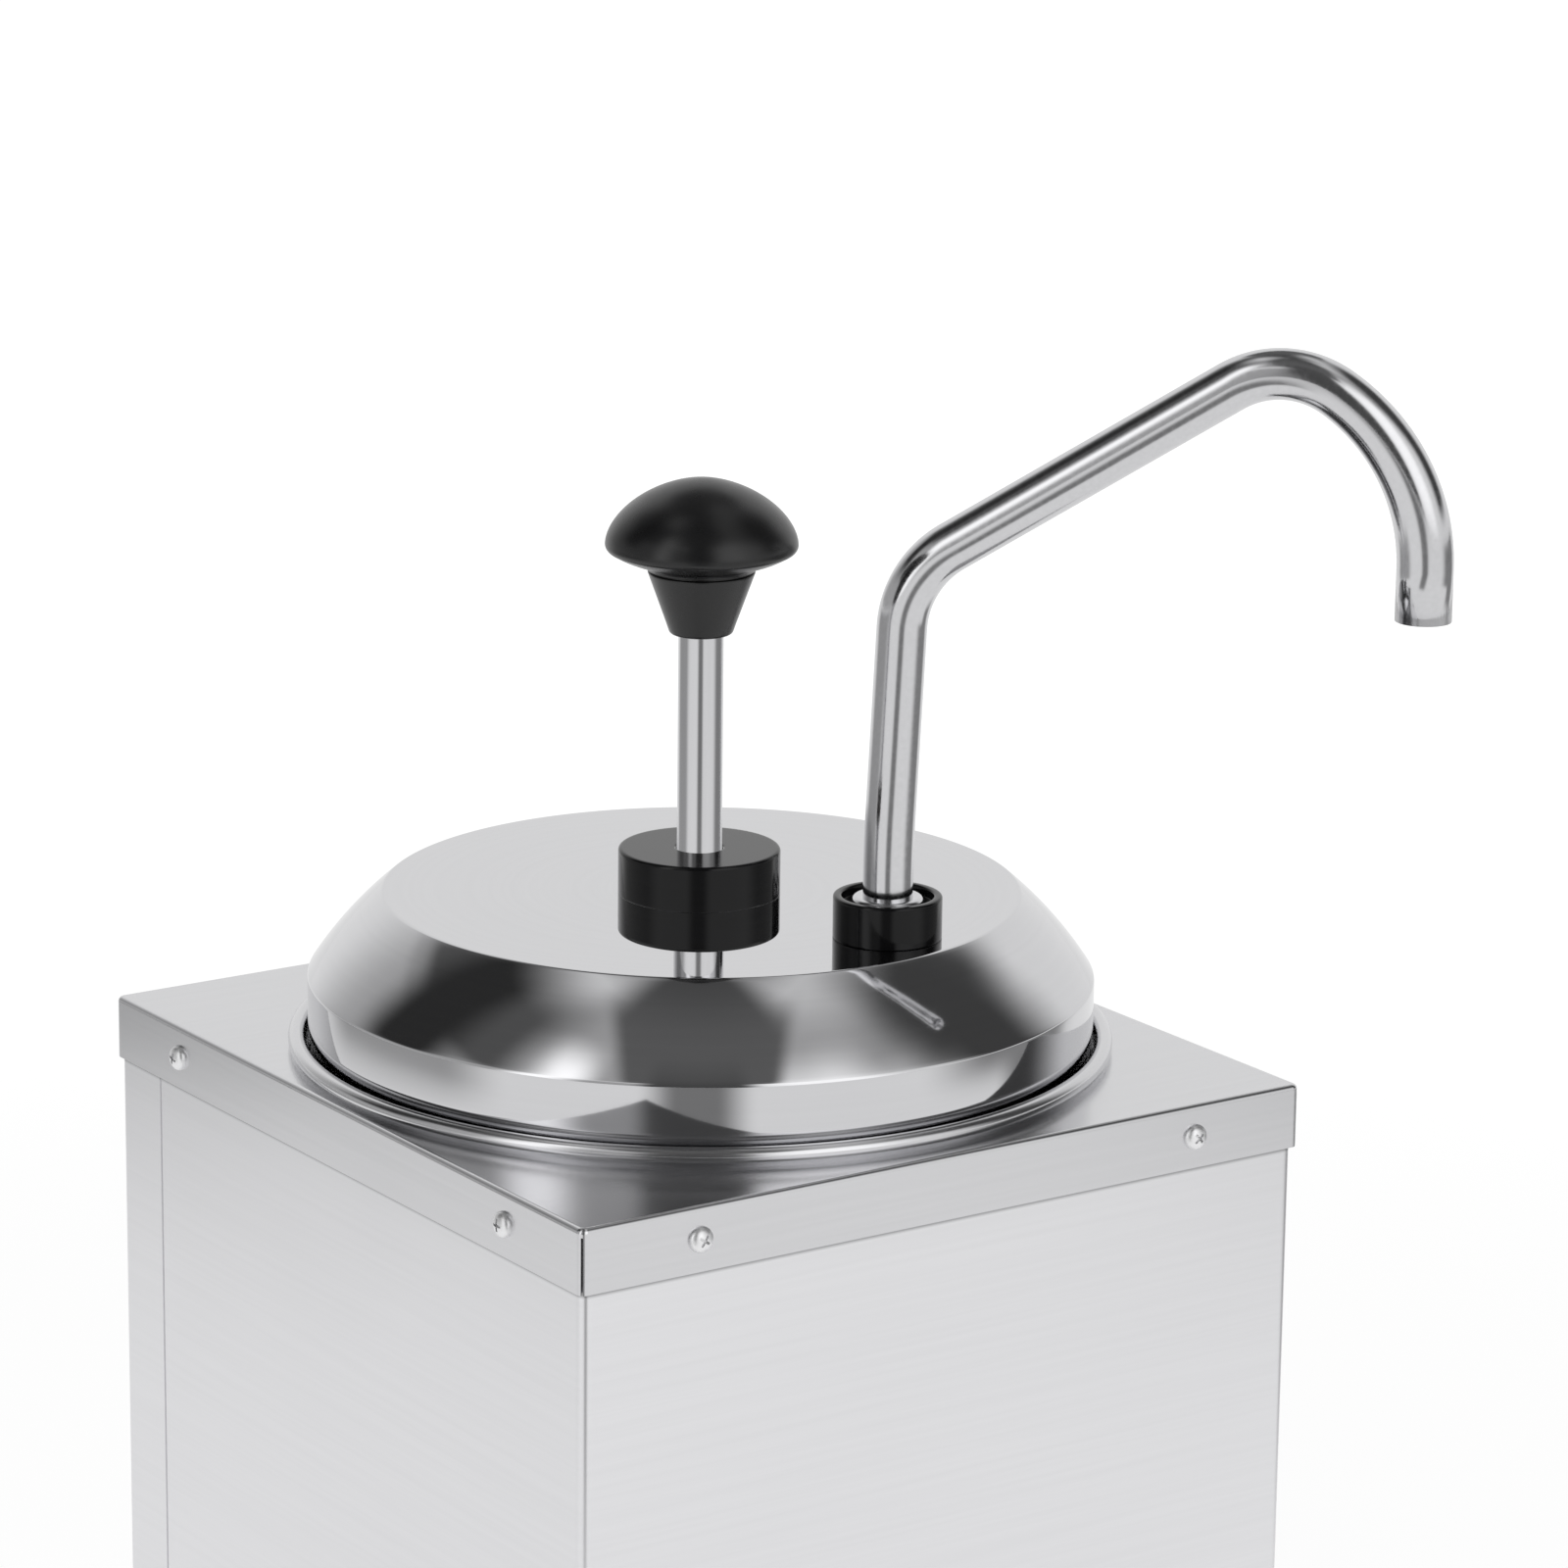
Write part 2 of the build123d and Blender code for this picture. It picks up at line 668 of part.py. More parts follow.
# The rocker rests with its lower half pressed in; the plane is turned about the pivot.
rocker_out_dir = (0, -cos(radians(rocker_tilt)), -sin(radians(rocker_tilt)))
rocker_plane = Plane((-control_x, rocker_axis_y, control_z), x_dir=rocker_out_dir, z_dir=(1, 0, 0))
with BuildPart() as switch_rocker:
    with BuildSketch(rocker_plane.offset(-rocker_w / 2)):
        with BuildLine():
            Polyline(
                (-rocker_in, -rocker_h / 4),
                (rocker_out, -rocker_h / 2),
                (rocker_out - rocker_dish, 0),
                (rocker_out, rocker_h / 2),
                (-rocker_in, rocker_h / 4),
                close=True,
            )
        make_face()
    extrude(amount=rocker_w)
    with BuildSketch(rocker_plane.offset(-switch_body_w / 2 + 0.5)):
        Circle(rocker_pin_r - run_clear)
    extrude(amount=switch_body_w - 1.0)

with BuildPart() as lamp_body:
    with BuildSketch(front_plane):
        with Locations((-control_x, lamp_z)):
            Circle(lamp_r)
    extrude(amount=lamp_bezel_h)
    with BuildSketch(front_plane):
        with Locations((-control_x, lamp_z)):
            Circle(lamp_body_r)
    extrude(amount=-lamp_depth)
    with BuildSketch(front_plane.offset(lamp_bezel_h)):
        with Locations((-control_x, lamp_z)):
            Circle(lens_r)
    extrude(amount=-lamp_bezel_h, mode=Mode.SUBTRACT)

with BuildPart() as lamp_lens:
    with BuildSketch(front_plane):
        with Locations((-control_x, lamp_z)):
            Circle(lens_r)
    extrude(amount=lens_h)
    fillet(lamp_lens.faces().sort_by(Axis.Y)[0].edges(), lens_h * 0.4)

# ---------------------------------------------------------------- mains side
with BuildPart() as power_inlet:
    with BuildSketch(rear_plane):
        with Locations((-inlet_x, inlet_z)):
            RectangleRounded(inlet_flange_w, inlet_flange_h, 3.0)
            with Locations((-inlet_screw_span / 2, 0), (inlet_screw_span / 2, 0)):
                Circle(screw_shank_r, mode=Mode.SUBTRACT)
    extrude(amount=inlet_flange_t)
    with BuildSketch(rear_plane):
        with Locations((-inlet_x, inlet_z)):
            Rectangle(inlet_w, inlet_hh)
    extrude(amount=-inlet_depth)
    with BuildSketch(rear_plane.offset(inlet_flange_t)):
        with Locations((-inlet_x, inlet_z)):
            recess = Rectangle(inlet_w - 2 * inlet_wall, inlet_hh - 2 * inlet_wall)
        chamfer(recess.vertices().group_by(Axis.Z)[-1], 4.0)
    extrude(amount=-inlet_recess - inlet_flange_t, mode=Mode.SUBTRACT)

inlet_pin_spots = ((-pin_span, -2.0), (pin_span, -2.0), (0, 2.0))
with BuildPart() as inlet_pins:
    with BuildSketch(rear_plane.offset(-inlet_recess)):
        with Locations((-inlet_x, inlet_z)):
            with Locations(*inlet_pin_spots):
                Rectangle(pin_w, pin_l)
    extrude(amount=pin_out)

with BuildPart() as inlet_screws:
    spots = (inlet_x - inlet_screw_span / 2, inlet_x + inlet_screw_span / 2)
    seats = [Plane((x, rear_y + inlet_flange_t, inlet_z), x_dir=(-1, 0, 0), z_dir=(0, 1, 0)) for x in spots]
    with Locations(*[p.location for p in seats]):
        add(sheet_screw)

pan_floor = foot_h + pan_t
with BuildPart() as terminal_block:
    with Locations((0, wrap_in_y * 0.7, pan_floor)):
        Box(block_w, block_d, block_tall, align=ON_BASE)
        with GridLocations(block_w / 3, 0, 3, 1):
            with Locations((0, 0, block_tall)):
                Cylinder(screw_head_r * 0.8, block_tall / 3, align=UNDER, mode=Mode.SUBTRACT)

earth_xy = (wrap_in_x * 0.45, wrap_in_y * 0.72)
with BuildPart() as earth_stud:
    with Locations((*earth_xy, pan_floor)):
        Cylinder(heater_stud_r, heater_nut_h * 3, align=ON_BASE)
    with BuildSketch(Plane.XY.offset(pan_floor)):
        with Locations(earth_xy):
            RegularPolygon(heater_nut_af / 2, 6, major_radius=False)
    extrude(amount=heater_nut_h)

# Insulated leads: down from each terminal, across the space under the heater in two
# layers, and up again. Each route is the list of its corners.
block_y = wrap_in_y * 0.7
inlet_back = rear_y - inlet_depth
tab_end = front_out + switch_depth + tab_h
thermo_back = front_in + thermo_d
drop_left = tab_end + lead_turn * 2.5
drop_right = thermo_back + lead_turn * 3
layer_low = pan_floor + 2 * lead_r
layer_high = layer_low + 3 * lead_r
limit_tab_low = well_under - limit_h - tab_h
element_low = element_z - element_wire_r - element_tail
pin_right, pin_left = [element_path.line @ end for end in element_ends]
live_x, earth_x = inlet_x - pin_span, inlet_x + pin_span
feed_x = -block_w / 3
cross_y = block_y - block_d
switch_left, switch_right = -control_x - 2 * lead_r, -control_x + lead_r
thermo_left, thermo_right = control_x - 3 * shaft_r, control_x + 3 * shaft_r
lead_routes = (
    (  # inlet to the terminal block
        (live_x, inlet_back, inlet_z),
        (live_x, inlet_back - lead_turn * 2.5, inlet_z),
        (live_x, inlet_back - lead_turn * 2.5, layer_high),
        (feed_x, block_y + block_d, layer_high),
        (feed_x, block_y + block_d / 2, layer_high),
    ),
    (  # terminal block to the switch
        (feed_x, block_y - block_d / 2, layer_high),
        (feed_x, cross_y - lead_turn, layer_high),
        (-spreader_r, -element_r / 2, layer_high),
        (switch_left, drop_left, layer_high),
        (switch_left, drop_left, control_z - switch_tab_z),
        (switch_left, tab_end, control_z - switch_tab_z),
    ),
    (  # switch to the thermostat
        (switch_right, tab_end, control_z + switch_tab_z),
        (switch_right, drop_left, control_z + switch_tab_z),
        (switch_right, drop_left, layer_low),
        (thermo_left, drop_right, layer_low),
        (thermo_left, drop_right, control_z - thermo_w / 4),
        (thermo_left, thermo_back, control_z - thermo_w / 4),
    ),
    (  # thermostat to the element
        (thermo_right, thermo_back, control_z),
        (thermo_right, drop_right, control_z),
        (thermo_right, drop_right, layer_high),
        (pin_right.X, pin_right.Y, layer_high),
        (pin_right.X, pin_right.Y, element_low),
    ),
    (  # element to the limiter
        (pin_left.X, pin_left.Y, element_low),
        (pin_left.X, pin_left.Y, layer_high),
        (-limit_r / 2, pot_y, layer_high),
        (-limit_r / 2, pot_y, limit_tab_low),
    ),
    (  # limiter to the terminal block
        (limit_r / 2, pot_y, limit_tab_low),
        (limit_r / 2, pot_y, layer_high),
        (0, cross_y, layer_high),
        (0, block_y - block_d / 2, layer_high),
    ),
    (  # inlet to the earth stud
        (earth_x, inlet_back, inlet_z),
        (earth_x, inlet_back - lead_turn * 4, inlet_z),
        (earth_x, inlet_back - lead_turn * 4, layer_low),
        (-element_r, cross_y, layer_low),
        (earth_xy[0], cross_y, layer_low),
        (earth_xy[0], earth_xy[1] - heater_nut_af / 2, layer_low),
    ),
)

with BuildPart() as wiring:
    for route in lead_routes:
        with BuildLine() as run:
            FilletPolyline(*route, radius=lead_turn)
        with BuildSketch(Plane(run.line @ 0, z_dir=run.line % 0)):
            Circle(lead_r)
        sweep(path=run.line)

# ---------------------------------------------------------------- pot
with BuildPart() as pot:
    with BuildSketch(pot_plane):
        with BuildLine():
            FilletPolyline(
                (pot_out_r, bead_z),
                (pot_out_r, ledge_z - pot_t),
                (pot_low_r, ledge_z - pot_t),
                (pot_low_r, pot_under),
                (0, pot_under),
                radius=(2 * pot_t, 2 * pot_t, pot_corner),
            )
            offset(amount=pot_t, side=Side.RIGHT)
        make_face()
        with Locations((bead_major, bead_z)):
            Circle(bead_r)
    revolve(axis=pot_axis)

# ---------------------------------------------------------------- lid
with BuildPart() as lid:
    shoulder_z = cap_top + skirt_top
    drop, spread = lid_top - shoulder_z, skirt_r - lid_flat_r
    slant = sqrt(drop**2 + spread**2)
    bulge = (
        (skirt_r + lid_flat_r) / 2 + shoulder_bulge * drop / slant,
        (shoulder_z + lid_top) / 2 + shoulder_bulge * spread / slant,
    )
    with BuildSketch(pot_plane):
        with BuildLine():
            Line((skirt_r, lid_low), (skirt_r, shoulder_z))
            ThreePointArc((skirt_r, shoulder_z), bulge, (lid_flat_r, lid_top))
            Line((lid_flat_r, lid_top), (0, lid_top))
            offset(amount=lid_t, side=Side.LEFT)
        make_face()
    revolve(axis=pot_axis)
    rims = lid.edges().filter_by(GeomType.CIRCLE)
    fillet(rims.sort_by(Axis.Z)[-1], lid_t)
    with Locations((pump_x, row_y, lid_top)):
        Cylinder(neck_r, 4 * lid_t, mode=Mode.SUBTRACT)
    with Locations((tube_x, row_y, lid_top)):
        Cylinder(bush_shank_r, 4 * lid_t, mode=Mode.SUBTRACT)

# ---------------------------------------------------------------- pump, fixed in the lid


def on_pump(height):
    """Plane across the pump's axis at a height above the lid's flat top."""
    return Plane((pump_x, row_y, lid_top + height))


with BuildPart() as neck_tube:
    with BuildSketch(on_pump(neck_low)):
        Circle(neck_r)
        Circle(rod_r + run_clear, mode=Mode.SUBTRACT)
    extrude(amount=collar_seam - neck_low)

with BuildPart() as collar_ring:
    with BuildSketch(on_pump(collar_low)):
        Circle(collar_r)
        Circle(neck_r, mode=Mode.SUBTRACT)
    extrude(amount=collar_seam - collar_low)
    fillet(collar_ring.faces().sort_by(Axis.Z)[0].outer_wire().edges(), 0.8)

with BuildPart() as collar_cap:
    with BuildSketch(on_pump(collar_seam)):
        Circle(collar_r)
    extrude(amount=collar_high - collar_seam)
    fillet(collar_cap.faces().sort_by(Axis.Z)[-1].edges(), 0.6)
    with BuildSketch(on_pump(collar_seam)):
        Circle(bush_r)
    extrude(amount=bush_h, mode=Mode.SUBTRACT)
    with BuildSketch(on_pump(collar_high)):
        Circle(rod_r + ball_gap)
    extrude(amount=-collar_high + collar_seam, mode=Mode.SUBTRACT)

with BuildPart() as guide_bush:
    with BuildSketch(on_pump(collar_seam)):
        Circle(bush_r)
        Circle(rod_r + run_clear, mode=Mode.SUBTRACT)
    extrude(amount=bush_h)

with BuildPart() as pump_head:
    head_low = neck_low - head_socket
    with BuildSketch(on_pump(head_low)):
        Circle(head_r)
    extrude(amount=head_h)
    with BuildSketch(on_pump(head_low)):
        Circle(cyl_r)
    extrude(amount=head_socket, mode=Mode.SUBTRACT)
    with BuildSketch(on_pump(neck_low)):
        Circle(neck_r)
    extrude(amount=head_h, mode=Mode.SUBTRACT)
    chamfer(pump_head.faces().sort_by(Axis.Z)[-1].outer_wire().edges(), 1.0)

with BuildPart() as rod_seal:
    with BuildSketch(on_pump(neck_low)):
        Circle(cyl_in_r)
        Circle(rod_r + run_clear, mode=Mode.SUBTRACT)
    extrude(amount=-seal_h)

with BuildPart() as pump_cylinder:
    with BuildSketch(on_pump(cyl_low)):
        Circle(cyl_r)
        Circle(cyl_in_r, mode=Mode.SUBTRACT)
    extrude(amount=neck_low - cyl_low)

with BuildPart() as valve_block:
    with BuildSketch(Plane.XY.offset(block_low)):
        with Locations((pump_x, row_y)):
            wide = Circle(head_r, mode=Mode.PRIVATE)
        with Locations((tube_x, row_y)):
            slim = Circle(block_tube_r, mode=Mode.PRIVATE)
        make_hull(wide.edges() + slim.edges())
    extrude(amount=block_h)
    chamfer(valve_block.faces().sort_by(Axis.Z)[0].edges(), 1.0)
    with Locations((pump_x, row_y, block_top)):
        Cylinder(head_r, head_socket, align=ON_BASE)
        Cylinder(cyl_r, head_socket, align=ON_BASE, mode=Mode.SUBTRACT)
    with Locations((tube_x, row_y, block_top)):
        Cylinder(block_tube_r, boss_h, align=ON_BASE)
    # suction side: open top, ball cage, then the pocket of the seat plug
    with Locations((pump_x, row_y, block_low)):
        Cylinder(seat_plug_r, seat_plug_h, align=ON_BASE, mode=Mode.SUBTRACT)
        Cylinder(cage_r, block_h, align=ON_BASE, mode=Mode.SUBTRACT)
    with Locations((pump_x, row_y, block_top)):
        Cylinder(chamber_r, block_top - channel_z, align=UNDER, mode=Mode.SUBTRACT)
    # cross channel, drilled from the tube's end
    with Locations((pump_x, row_y, channel_z)):
        Cylinder(
            channel_r,
            tube_x - pump_x + block_tube_r,
            rotation=(0, 90, 0),
            align=(Align.CENTER, Align.CENTER, Align.MIN),
            mode=Mode.SUBTRACT,
        )
    with Locations((tube_x, row_y, channel_z)):
        Cylinder(channel_r, block_h, align=ON_BASE, mode=Mode.SUBTRACT)
    with Locations((tube_x, row_y, discharge_seat_z)):
        Cylinder(cage_r, tube_end - discharge_seat_z, align=ON_BASE, mode=Mode.SUBTRACT)
    with Locations((tube_x, row_y, tube_end)):
        Cylinder(tube_r, tube_socket, align=ON_BASE, mode=Mode.SUBTRACT)

with BuildPart() as suction_seat:
    with Locations((pump_x, row_y, block_low)):
        Cylinder(seat_plug_r, seat_plug_h, align=ON_BASE)
        Cylinder(port_r, seat_plug_h, align=ON_BASE, mode=Mode.SUBTRACT)
    with BuildSketch(Plane.XY.offset(block_low)):
        with Locations((pump_x, row_y)):
            Rectangle(2 * seat_plug_r, 1.6)
            Rectangle(1.6, 2 * seat_plug_r)
    extrude(amount=1.5, mode=Mode.SUBTRACT)

with BuildPart() as suction_ball:
    with Locations((pump_x, row_y, suction_seat_z + tangent_seat(ball_r, port_r) + ball_gap)):
        Sphere(ball_r)

with BuildPart() as discharge_ball:
    with Locations((tube_x, row_y, discharge_seat_z + tangent_seat(ball_r, channel_r) + ball_gap)):
        Sphere(ball_r)

with BuildPart() as channel_plug:
    with Locations((tube_x + block_tube_r, row_y, channel_z)):
        Cylinder(channel_r, block_tube_r - channel_r - 1.0, rotation=(0, -90, 0), align=ON_BASE)

spout_dir = (cos(radians(spout_turn)), sin(radians(spout_turn)))
spout_plane = Plane(
    (tube_x, row_y, lid_top),
    x_dir=(*spout_dir, 0),
    z_dir=(spout_dir[1], -spout_dir[0], 0),
)
with BuildPart() as discharge_tube:
    with BuildLine(spout_plane) as spout_path:
        riser = Line((0, tube_end - lid_top), (0, lean_start))
        bow = JernArc(riser @ 1, riser % 1, lean_r, -lean)
        stem = Line(bow @ 1, (bow @ 1) + (bow % 1) * lean_run)
        knee = JernArc(stem @ 1, stem % 1, knee_r, lean + rise_angle - 90)
        incline = Line(knee @ 1, (knee @ 1) + (knee % 1) * rise_run)
        arch = JernArc(incline @ 1, incline % 1, arch_r, -arch_turn)
        drop = JernArc(arch @ 1, arch % 1, drop_r, arch_turn - rise_angle - 90)
        Line(drop @ 1, (drop @ 1) + (drop % 1) * drop_run)
    with BuildSketch(Plane(spout_path.line @ 0, z_dir=(0, 0, 1))):
        Circle(tube_r)
        Circle(tube_r - tube_wall, mode=Mode.SUBTRACT)
    sweep(path=spout_path.line)
    bell_top = Plane(spout_path.line @ 1, z_dir=(0, 0, -1))
    with BuildSketch(bell_top):
        Circle(tube_r)
    with BuildSketch(bell_top.offset(bell_h)):
        Circle(tip_r)
    loft()
    with BuildSketch(bell_top.offset(bell_h)):
        Circle(tip_r)
    extrude(amount=tip_run)
    with BuildSketch(bell_top):
        Circle(tube_r - tube_wall)
    with BuildSketch(bell_top.offset(bell_h)):
        Circle(tip_r - tube_wall)
    loft(mode=Mode.SUBTRACT)
    with BuildSketch(bell_top.offset(bell_h)):
        Circle(tip_r - tube_wall)
    extrude(amount=tip_run, mode=Mode.SUBTRACT)

with BuildPart() as tube_bushing:
    with Locations((tube_x, row_y, lid_top)):
        Cylinder(bush_head_r, bush_head_h, align=ON_BASE)
        Cylinder(bush_shank_r, bush_shank, align=UNDER)
        Cylinder(tube_r, 4 * bush_head_h, mode=Mode.SUBTRACT)
    with Locations((tube_x, row_y, lid_top + bush_head_h)):
        Cylinder(bush_head_r - bush_lip, bush_recess, align=UNDER, mode=Mode.SUBTRACT)
    fillet(tube_bushing.faces().sort_by(Axis.Z)[-1].edges(), 0.5)

ferrule_low = lid_top + bush_head_h - bush_recess
with BuildPart() as tube_ferrule:
    with BuildSketch(Plane.XY.offset(ferrule_low)):
        with Locations((tube_x, row_y)):
            Circle(ferrule_r)
            Circle(tube_r, mode=Mode.SUBTRACT)
    extrude(amount=ferrule_h)
    fillet(tube_ferrule.faces().sort_by(Axis.Z)[-1].outer_wire().edges(), ferrule_h * 0.7)

with BuildPart() as bushing_nut:
    with BuildSketch(Plane.XY.offset(lid_under)):
        with Locations((tube_x, row_y)):
            RegularPolygon(bush_nut_af / 2, 6, major_radius=False)
            Circle(bush_shank_r, mode=Mode.SUBTRACT)
    extrude(amount=-bush_nut_h)

# ---------------------------------------------------------------- plunger
with BuildPart() as knob:
    with BuildSketch(pump_plane):
        with BuildLine():
            Line((0, knob_low), (knob_foot_r, knob_low))
            ThreePointArc(
                (knob_foot_r, knob_low),
                ((knob_foot_r + 2 * knob_waist_r) / 3, (knob_low + knob_waist_z) / 2),
                (knob_waist_r, knob_waist_z),
            )
            Line((knob_waist_r, knob_waist_z), (knob_neck_r, knob_neck_z))
            Line((knob_neck_r, knob_neck_z), (knob_under_r, knob_under_z))
            ThreePointArc((knob_under_r, knob_under_z), (knob_lip_r, knob_lip_z), (knob_wide_r, knob_wide_z))
            Spline(
                (knob_wide_r, knob_wide_z),
                (knob_crown_r, knob_crown_z),
                (0, knob_top),
                tangents=((0, 1), (-1, 0)),
            )
            Line((0, knob_top), (0, knob_low))
        make_face()
    revolve(axis=pump_axis)
    with BuildSketch(on_pump(knob_low)):
        Circle(rod_r)
    extrude(amount=knob_socket, mode=Mode.SUBTRACT)
    with BuildSketch(on_pump(knob_groove_z)):
        Circle(knob_wide_r)
        Circle(knob_groove_r, mode=Mode.SUBTRACT)
    extrude(amount=knob_groove_h, mode=Mode.SUBTRACT)

with BuildPart() as plunger_rod:
    with BuildSketch(on_pump(piston_top)):
        Circle(rod_r)
    extrude(amount=knob_low + knob_socket - piston_top)
    with BuildSketch(on_pump(piston_top)):
        Circle(stud_r)
    extrude(amount=-piston_h - nut_h)

with BuildPart() as piston:
    with BuildSketch(on_pump(piston_top)):
        Circle(cyl_in_r - run_clear)
        Circle(stud_r, mode=Mode.SUBTRACT)
    extrude(amount=-piston_h)
    with BuildSketch(on_pump(piston_top - (piston_h - seal_h) / 2)):
        Circle(cyl_in_r)
        Circle(cyl_in_r - seal_depth, mode=Mode.SUBTRACT)
    extrude(amount=-seal_h, mode=Mode.SUBTRACT)

with BuildPart() as piston_seal:
    with BuildSketch(on_pump(piston_top - (piston_h - seal_h) / 2)):
        Circle(cyl_in_r - run_clear / 2)
        Circle(cyl_in_r - seal_depth, mode=Mode.SUBTRACT)
    extrude(amount=-seal_h)

with BuildPart() as piston_nut:
    with BuildSketch(on_pump(piston_top - piston_h)):
        RegularPolygon(nut_af / 2, 6, major_radius=False)
        Circle(stud_r, mode=Mode.SUBTRACT)
    extrude(amount=-nut_h)

with BuildPart() as return_spring:
    spring_low = cyl_low + spring_wire / 2
    spring_high = piston_top - piston_h - spring_wire / 2
    with BuildLine(on_pump(spring_low)) as coil:
        spring_h = spring_high - spring_low
        Helix(pitch=spring_h / spring_turns, height=spring_h, radius=spring_r)
    with BuildSketch(Plane(coil.line @ 0, z_dir=coil.line % 0)):
        Circle(spring_wire / 2)
    sweep(path=coil.line, is_frenet=True)

# ---------------------------------------------------------------- export
nodes = {
    "top_cap": top_cap,
    "cap_screws": cap_screws,
    "body_wrap": body_wrap,
    "rear_panel": rear_panel,
    "base_pan": base_pan,
    "base_screws": base_screws,
    "foot_front_left": foot_front_left,
    "foot_front_right": foot_front_right,
    "foot_rear_left": foot_rear_left,
    "foot_rear_right": foot_rear_right,
    "foot_screws": foot_screws,
    "foot_nuts": foot_nuts,
    "well": well,
    "insulation": insulation,
    "heat_spreader": heat_spreader,
    "heating_element": heating_element,
    "heater_clamp": heater_clamp,
    "heater_studs": heater_studs,
    "heater_nuts": heater_nuts,
    "hi_limit": hi_limit,
    "thermostat": thermostat,
    "thermostat_screws": thermostat_screws,
    "thermostat_bulb": thermostat_bulb,
    "control_dial": control_dial,
    "dial_shaft": dial_shaft,
    "switch_housing": switch_housing,
    "switch_rocker": switch_rocker,
    "lamp_body": lamp_body,
    "lamp_lens": lamp_lens,
    "power_inlet": power_inlet,
    "inlet_pins": inlet_pins,
    "inlet_screws": inlet_screws,
    "terminal_block": terminal_block,
    "earth_stud": earth_stud,
    "wiring": wiring,
    "pot": pot,
    "lid": lid,
    "neck_tube": neck_tube,
    "collar_ring": collar_ring,
    "collar_cap": collar_cap,
    "guide_bush": guide_bush,
    "pump_head": pump_head,
    "rod_seal": rod_seal,
    "pump_cylinder": pump_cylinder,
    "valve_block": valve_block,
    "suction_seat": suction_seat,
    "suction_ball": suction_ball,
    "discharge_ball": discharge_ball,
    "channel_plug": channel_plug,
    "discharge_tube": discharge_tube,
    "tube_bushing": tube_bushing,
    "tube_ferrule": tube_ferrule,
    "bushing_nut": bushing_nut,
    "knob": knob,
    "plunger_rod": plunger_rod,
    "piston": piston,
    "piston_seal": piston_seal,
    "piston_nut": piston_nut,
    "return_spring": return_spring,
}
for label, node in nodes.items():
    node.part.label = label
    export_step(node.part, f"parts/{label}.step")
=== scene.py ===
"""Dresses the counter topping warmer: finishes, turned and spun pieces, screws, spout, marks and a small studio."""
import json
from math import acos, atan2, cos, pi, radians, sin, sqrt, tan

import bmesh
import bpy
from bpy.props import FloatProperty, FloatVectorProperty, IntProperty, PointerProperty
from mathutils import Matrix, Vector


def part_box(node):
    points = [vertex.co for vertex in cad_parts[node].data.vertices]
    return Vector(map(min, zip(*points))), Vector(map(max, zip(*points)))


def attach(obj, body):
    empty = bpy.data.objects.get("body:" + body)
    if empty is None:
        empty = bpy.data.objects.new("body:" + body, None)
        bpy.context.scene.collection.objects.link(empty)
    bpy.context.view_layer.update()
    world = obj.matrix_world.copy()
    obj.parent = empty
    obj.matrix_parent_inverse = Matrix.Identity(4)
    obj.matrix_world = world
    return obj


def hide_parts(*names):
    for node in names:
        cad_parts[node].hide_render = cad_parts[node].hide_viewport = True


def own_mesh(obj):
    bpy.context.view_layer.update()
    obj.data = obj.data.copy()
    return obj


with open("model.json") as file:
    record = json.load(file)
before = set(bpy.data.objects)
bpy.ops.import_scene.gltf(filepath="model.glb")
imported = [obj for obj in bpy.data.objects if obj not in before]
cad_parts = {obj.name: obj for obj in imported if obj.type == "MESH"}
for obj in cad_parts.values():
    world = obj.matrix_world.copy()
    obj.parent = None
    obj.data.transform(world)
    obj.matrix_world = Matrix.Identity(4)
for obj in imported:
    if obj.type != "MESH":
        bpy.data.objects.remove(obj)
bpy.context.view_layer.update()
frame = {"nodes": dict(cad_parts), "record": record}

bl_info = {
    "name": "Topping Warmer",
    "version": (1, 0, 0),
    "blender": (4, 5, 0),
    "location": "3D View > Sidebar > Warmer",
    "description": "Makes the show pieces and finishes of a counter topping warmer with a hand pump",
    "category": "Object",
}

MM = 0.001

# Faces round the turned pieces. The lid has so many that a thin reflection in its shoulder stays
# smooth; the others need only a round outline.
LID_SIDES = 576
POT_SIDES = 288
TURNED_SIDES = 192
BUSHING_SIDES = 144
ROD_SIDES = 96


# ---------------------------------------------------------------- small helpers


def linear(code, alpha=None):
    """An sRGB hex colour as linear RGB, or RGBA where an alpha is given."""
    values = [int(code[i:i + 2], 16) / 255 for i in (1, 3, 5)]
    values = [v / 12.92 if v <= 0.04045 else ((v + 0.055) / 1.055) ** 2.4 for v in values]
    return tuple(values) if alpha is None else (*values, alpha)


def add_node(tree, kind, inputs=None, **settings):
    """Adds one node, sets its settings, and links or sets each of its inputs."""
    node = tree.nodes.new(kind)
    for key, value in settings.items():
        setattr(node, key, value)
    for key, value in (inputs or {}).items():
        socket = node.inputs[key]
        if isinstance(value, bpy.types.NodeSocket):
            tree.links.new(value, socket)
        else:
            socket.default_value = value
    return node


def round_part(node):
    """Axis, radius, foot and top of a round upright node, in millimetres."""
    low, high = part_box(node)
    axis = ((low[0] + high[0]) / 2 / MM, (low[1] + high[1]) / 2 / MM)
    return axis, (high[0] - low[0]) / 2 / MM, low[2] / MM, high[2] / MM


def settings():
    """The sizes and colours that a user can change."""
    return bpy.context.scene.warmer


def mm(value):
    """A length property in millimetres."""
    return value / MM


# ---------------------------------------------------------------- profiles and turned shapes


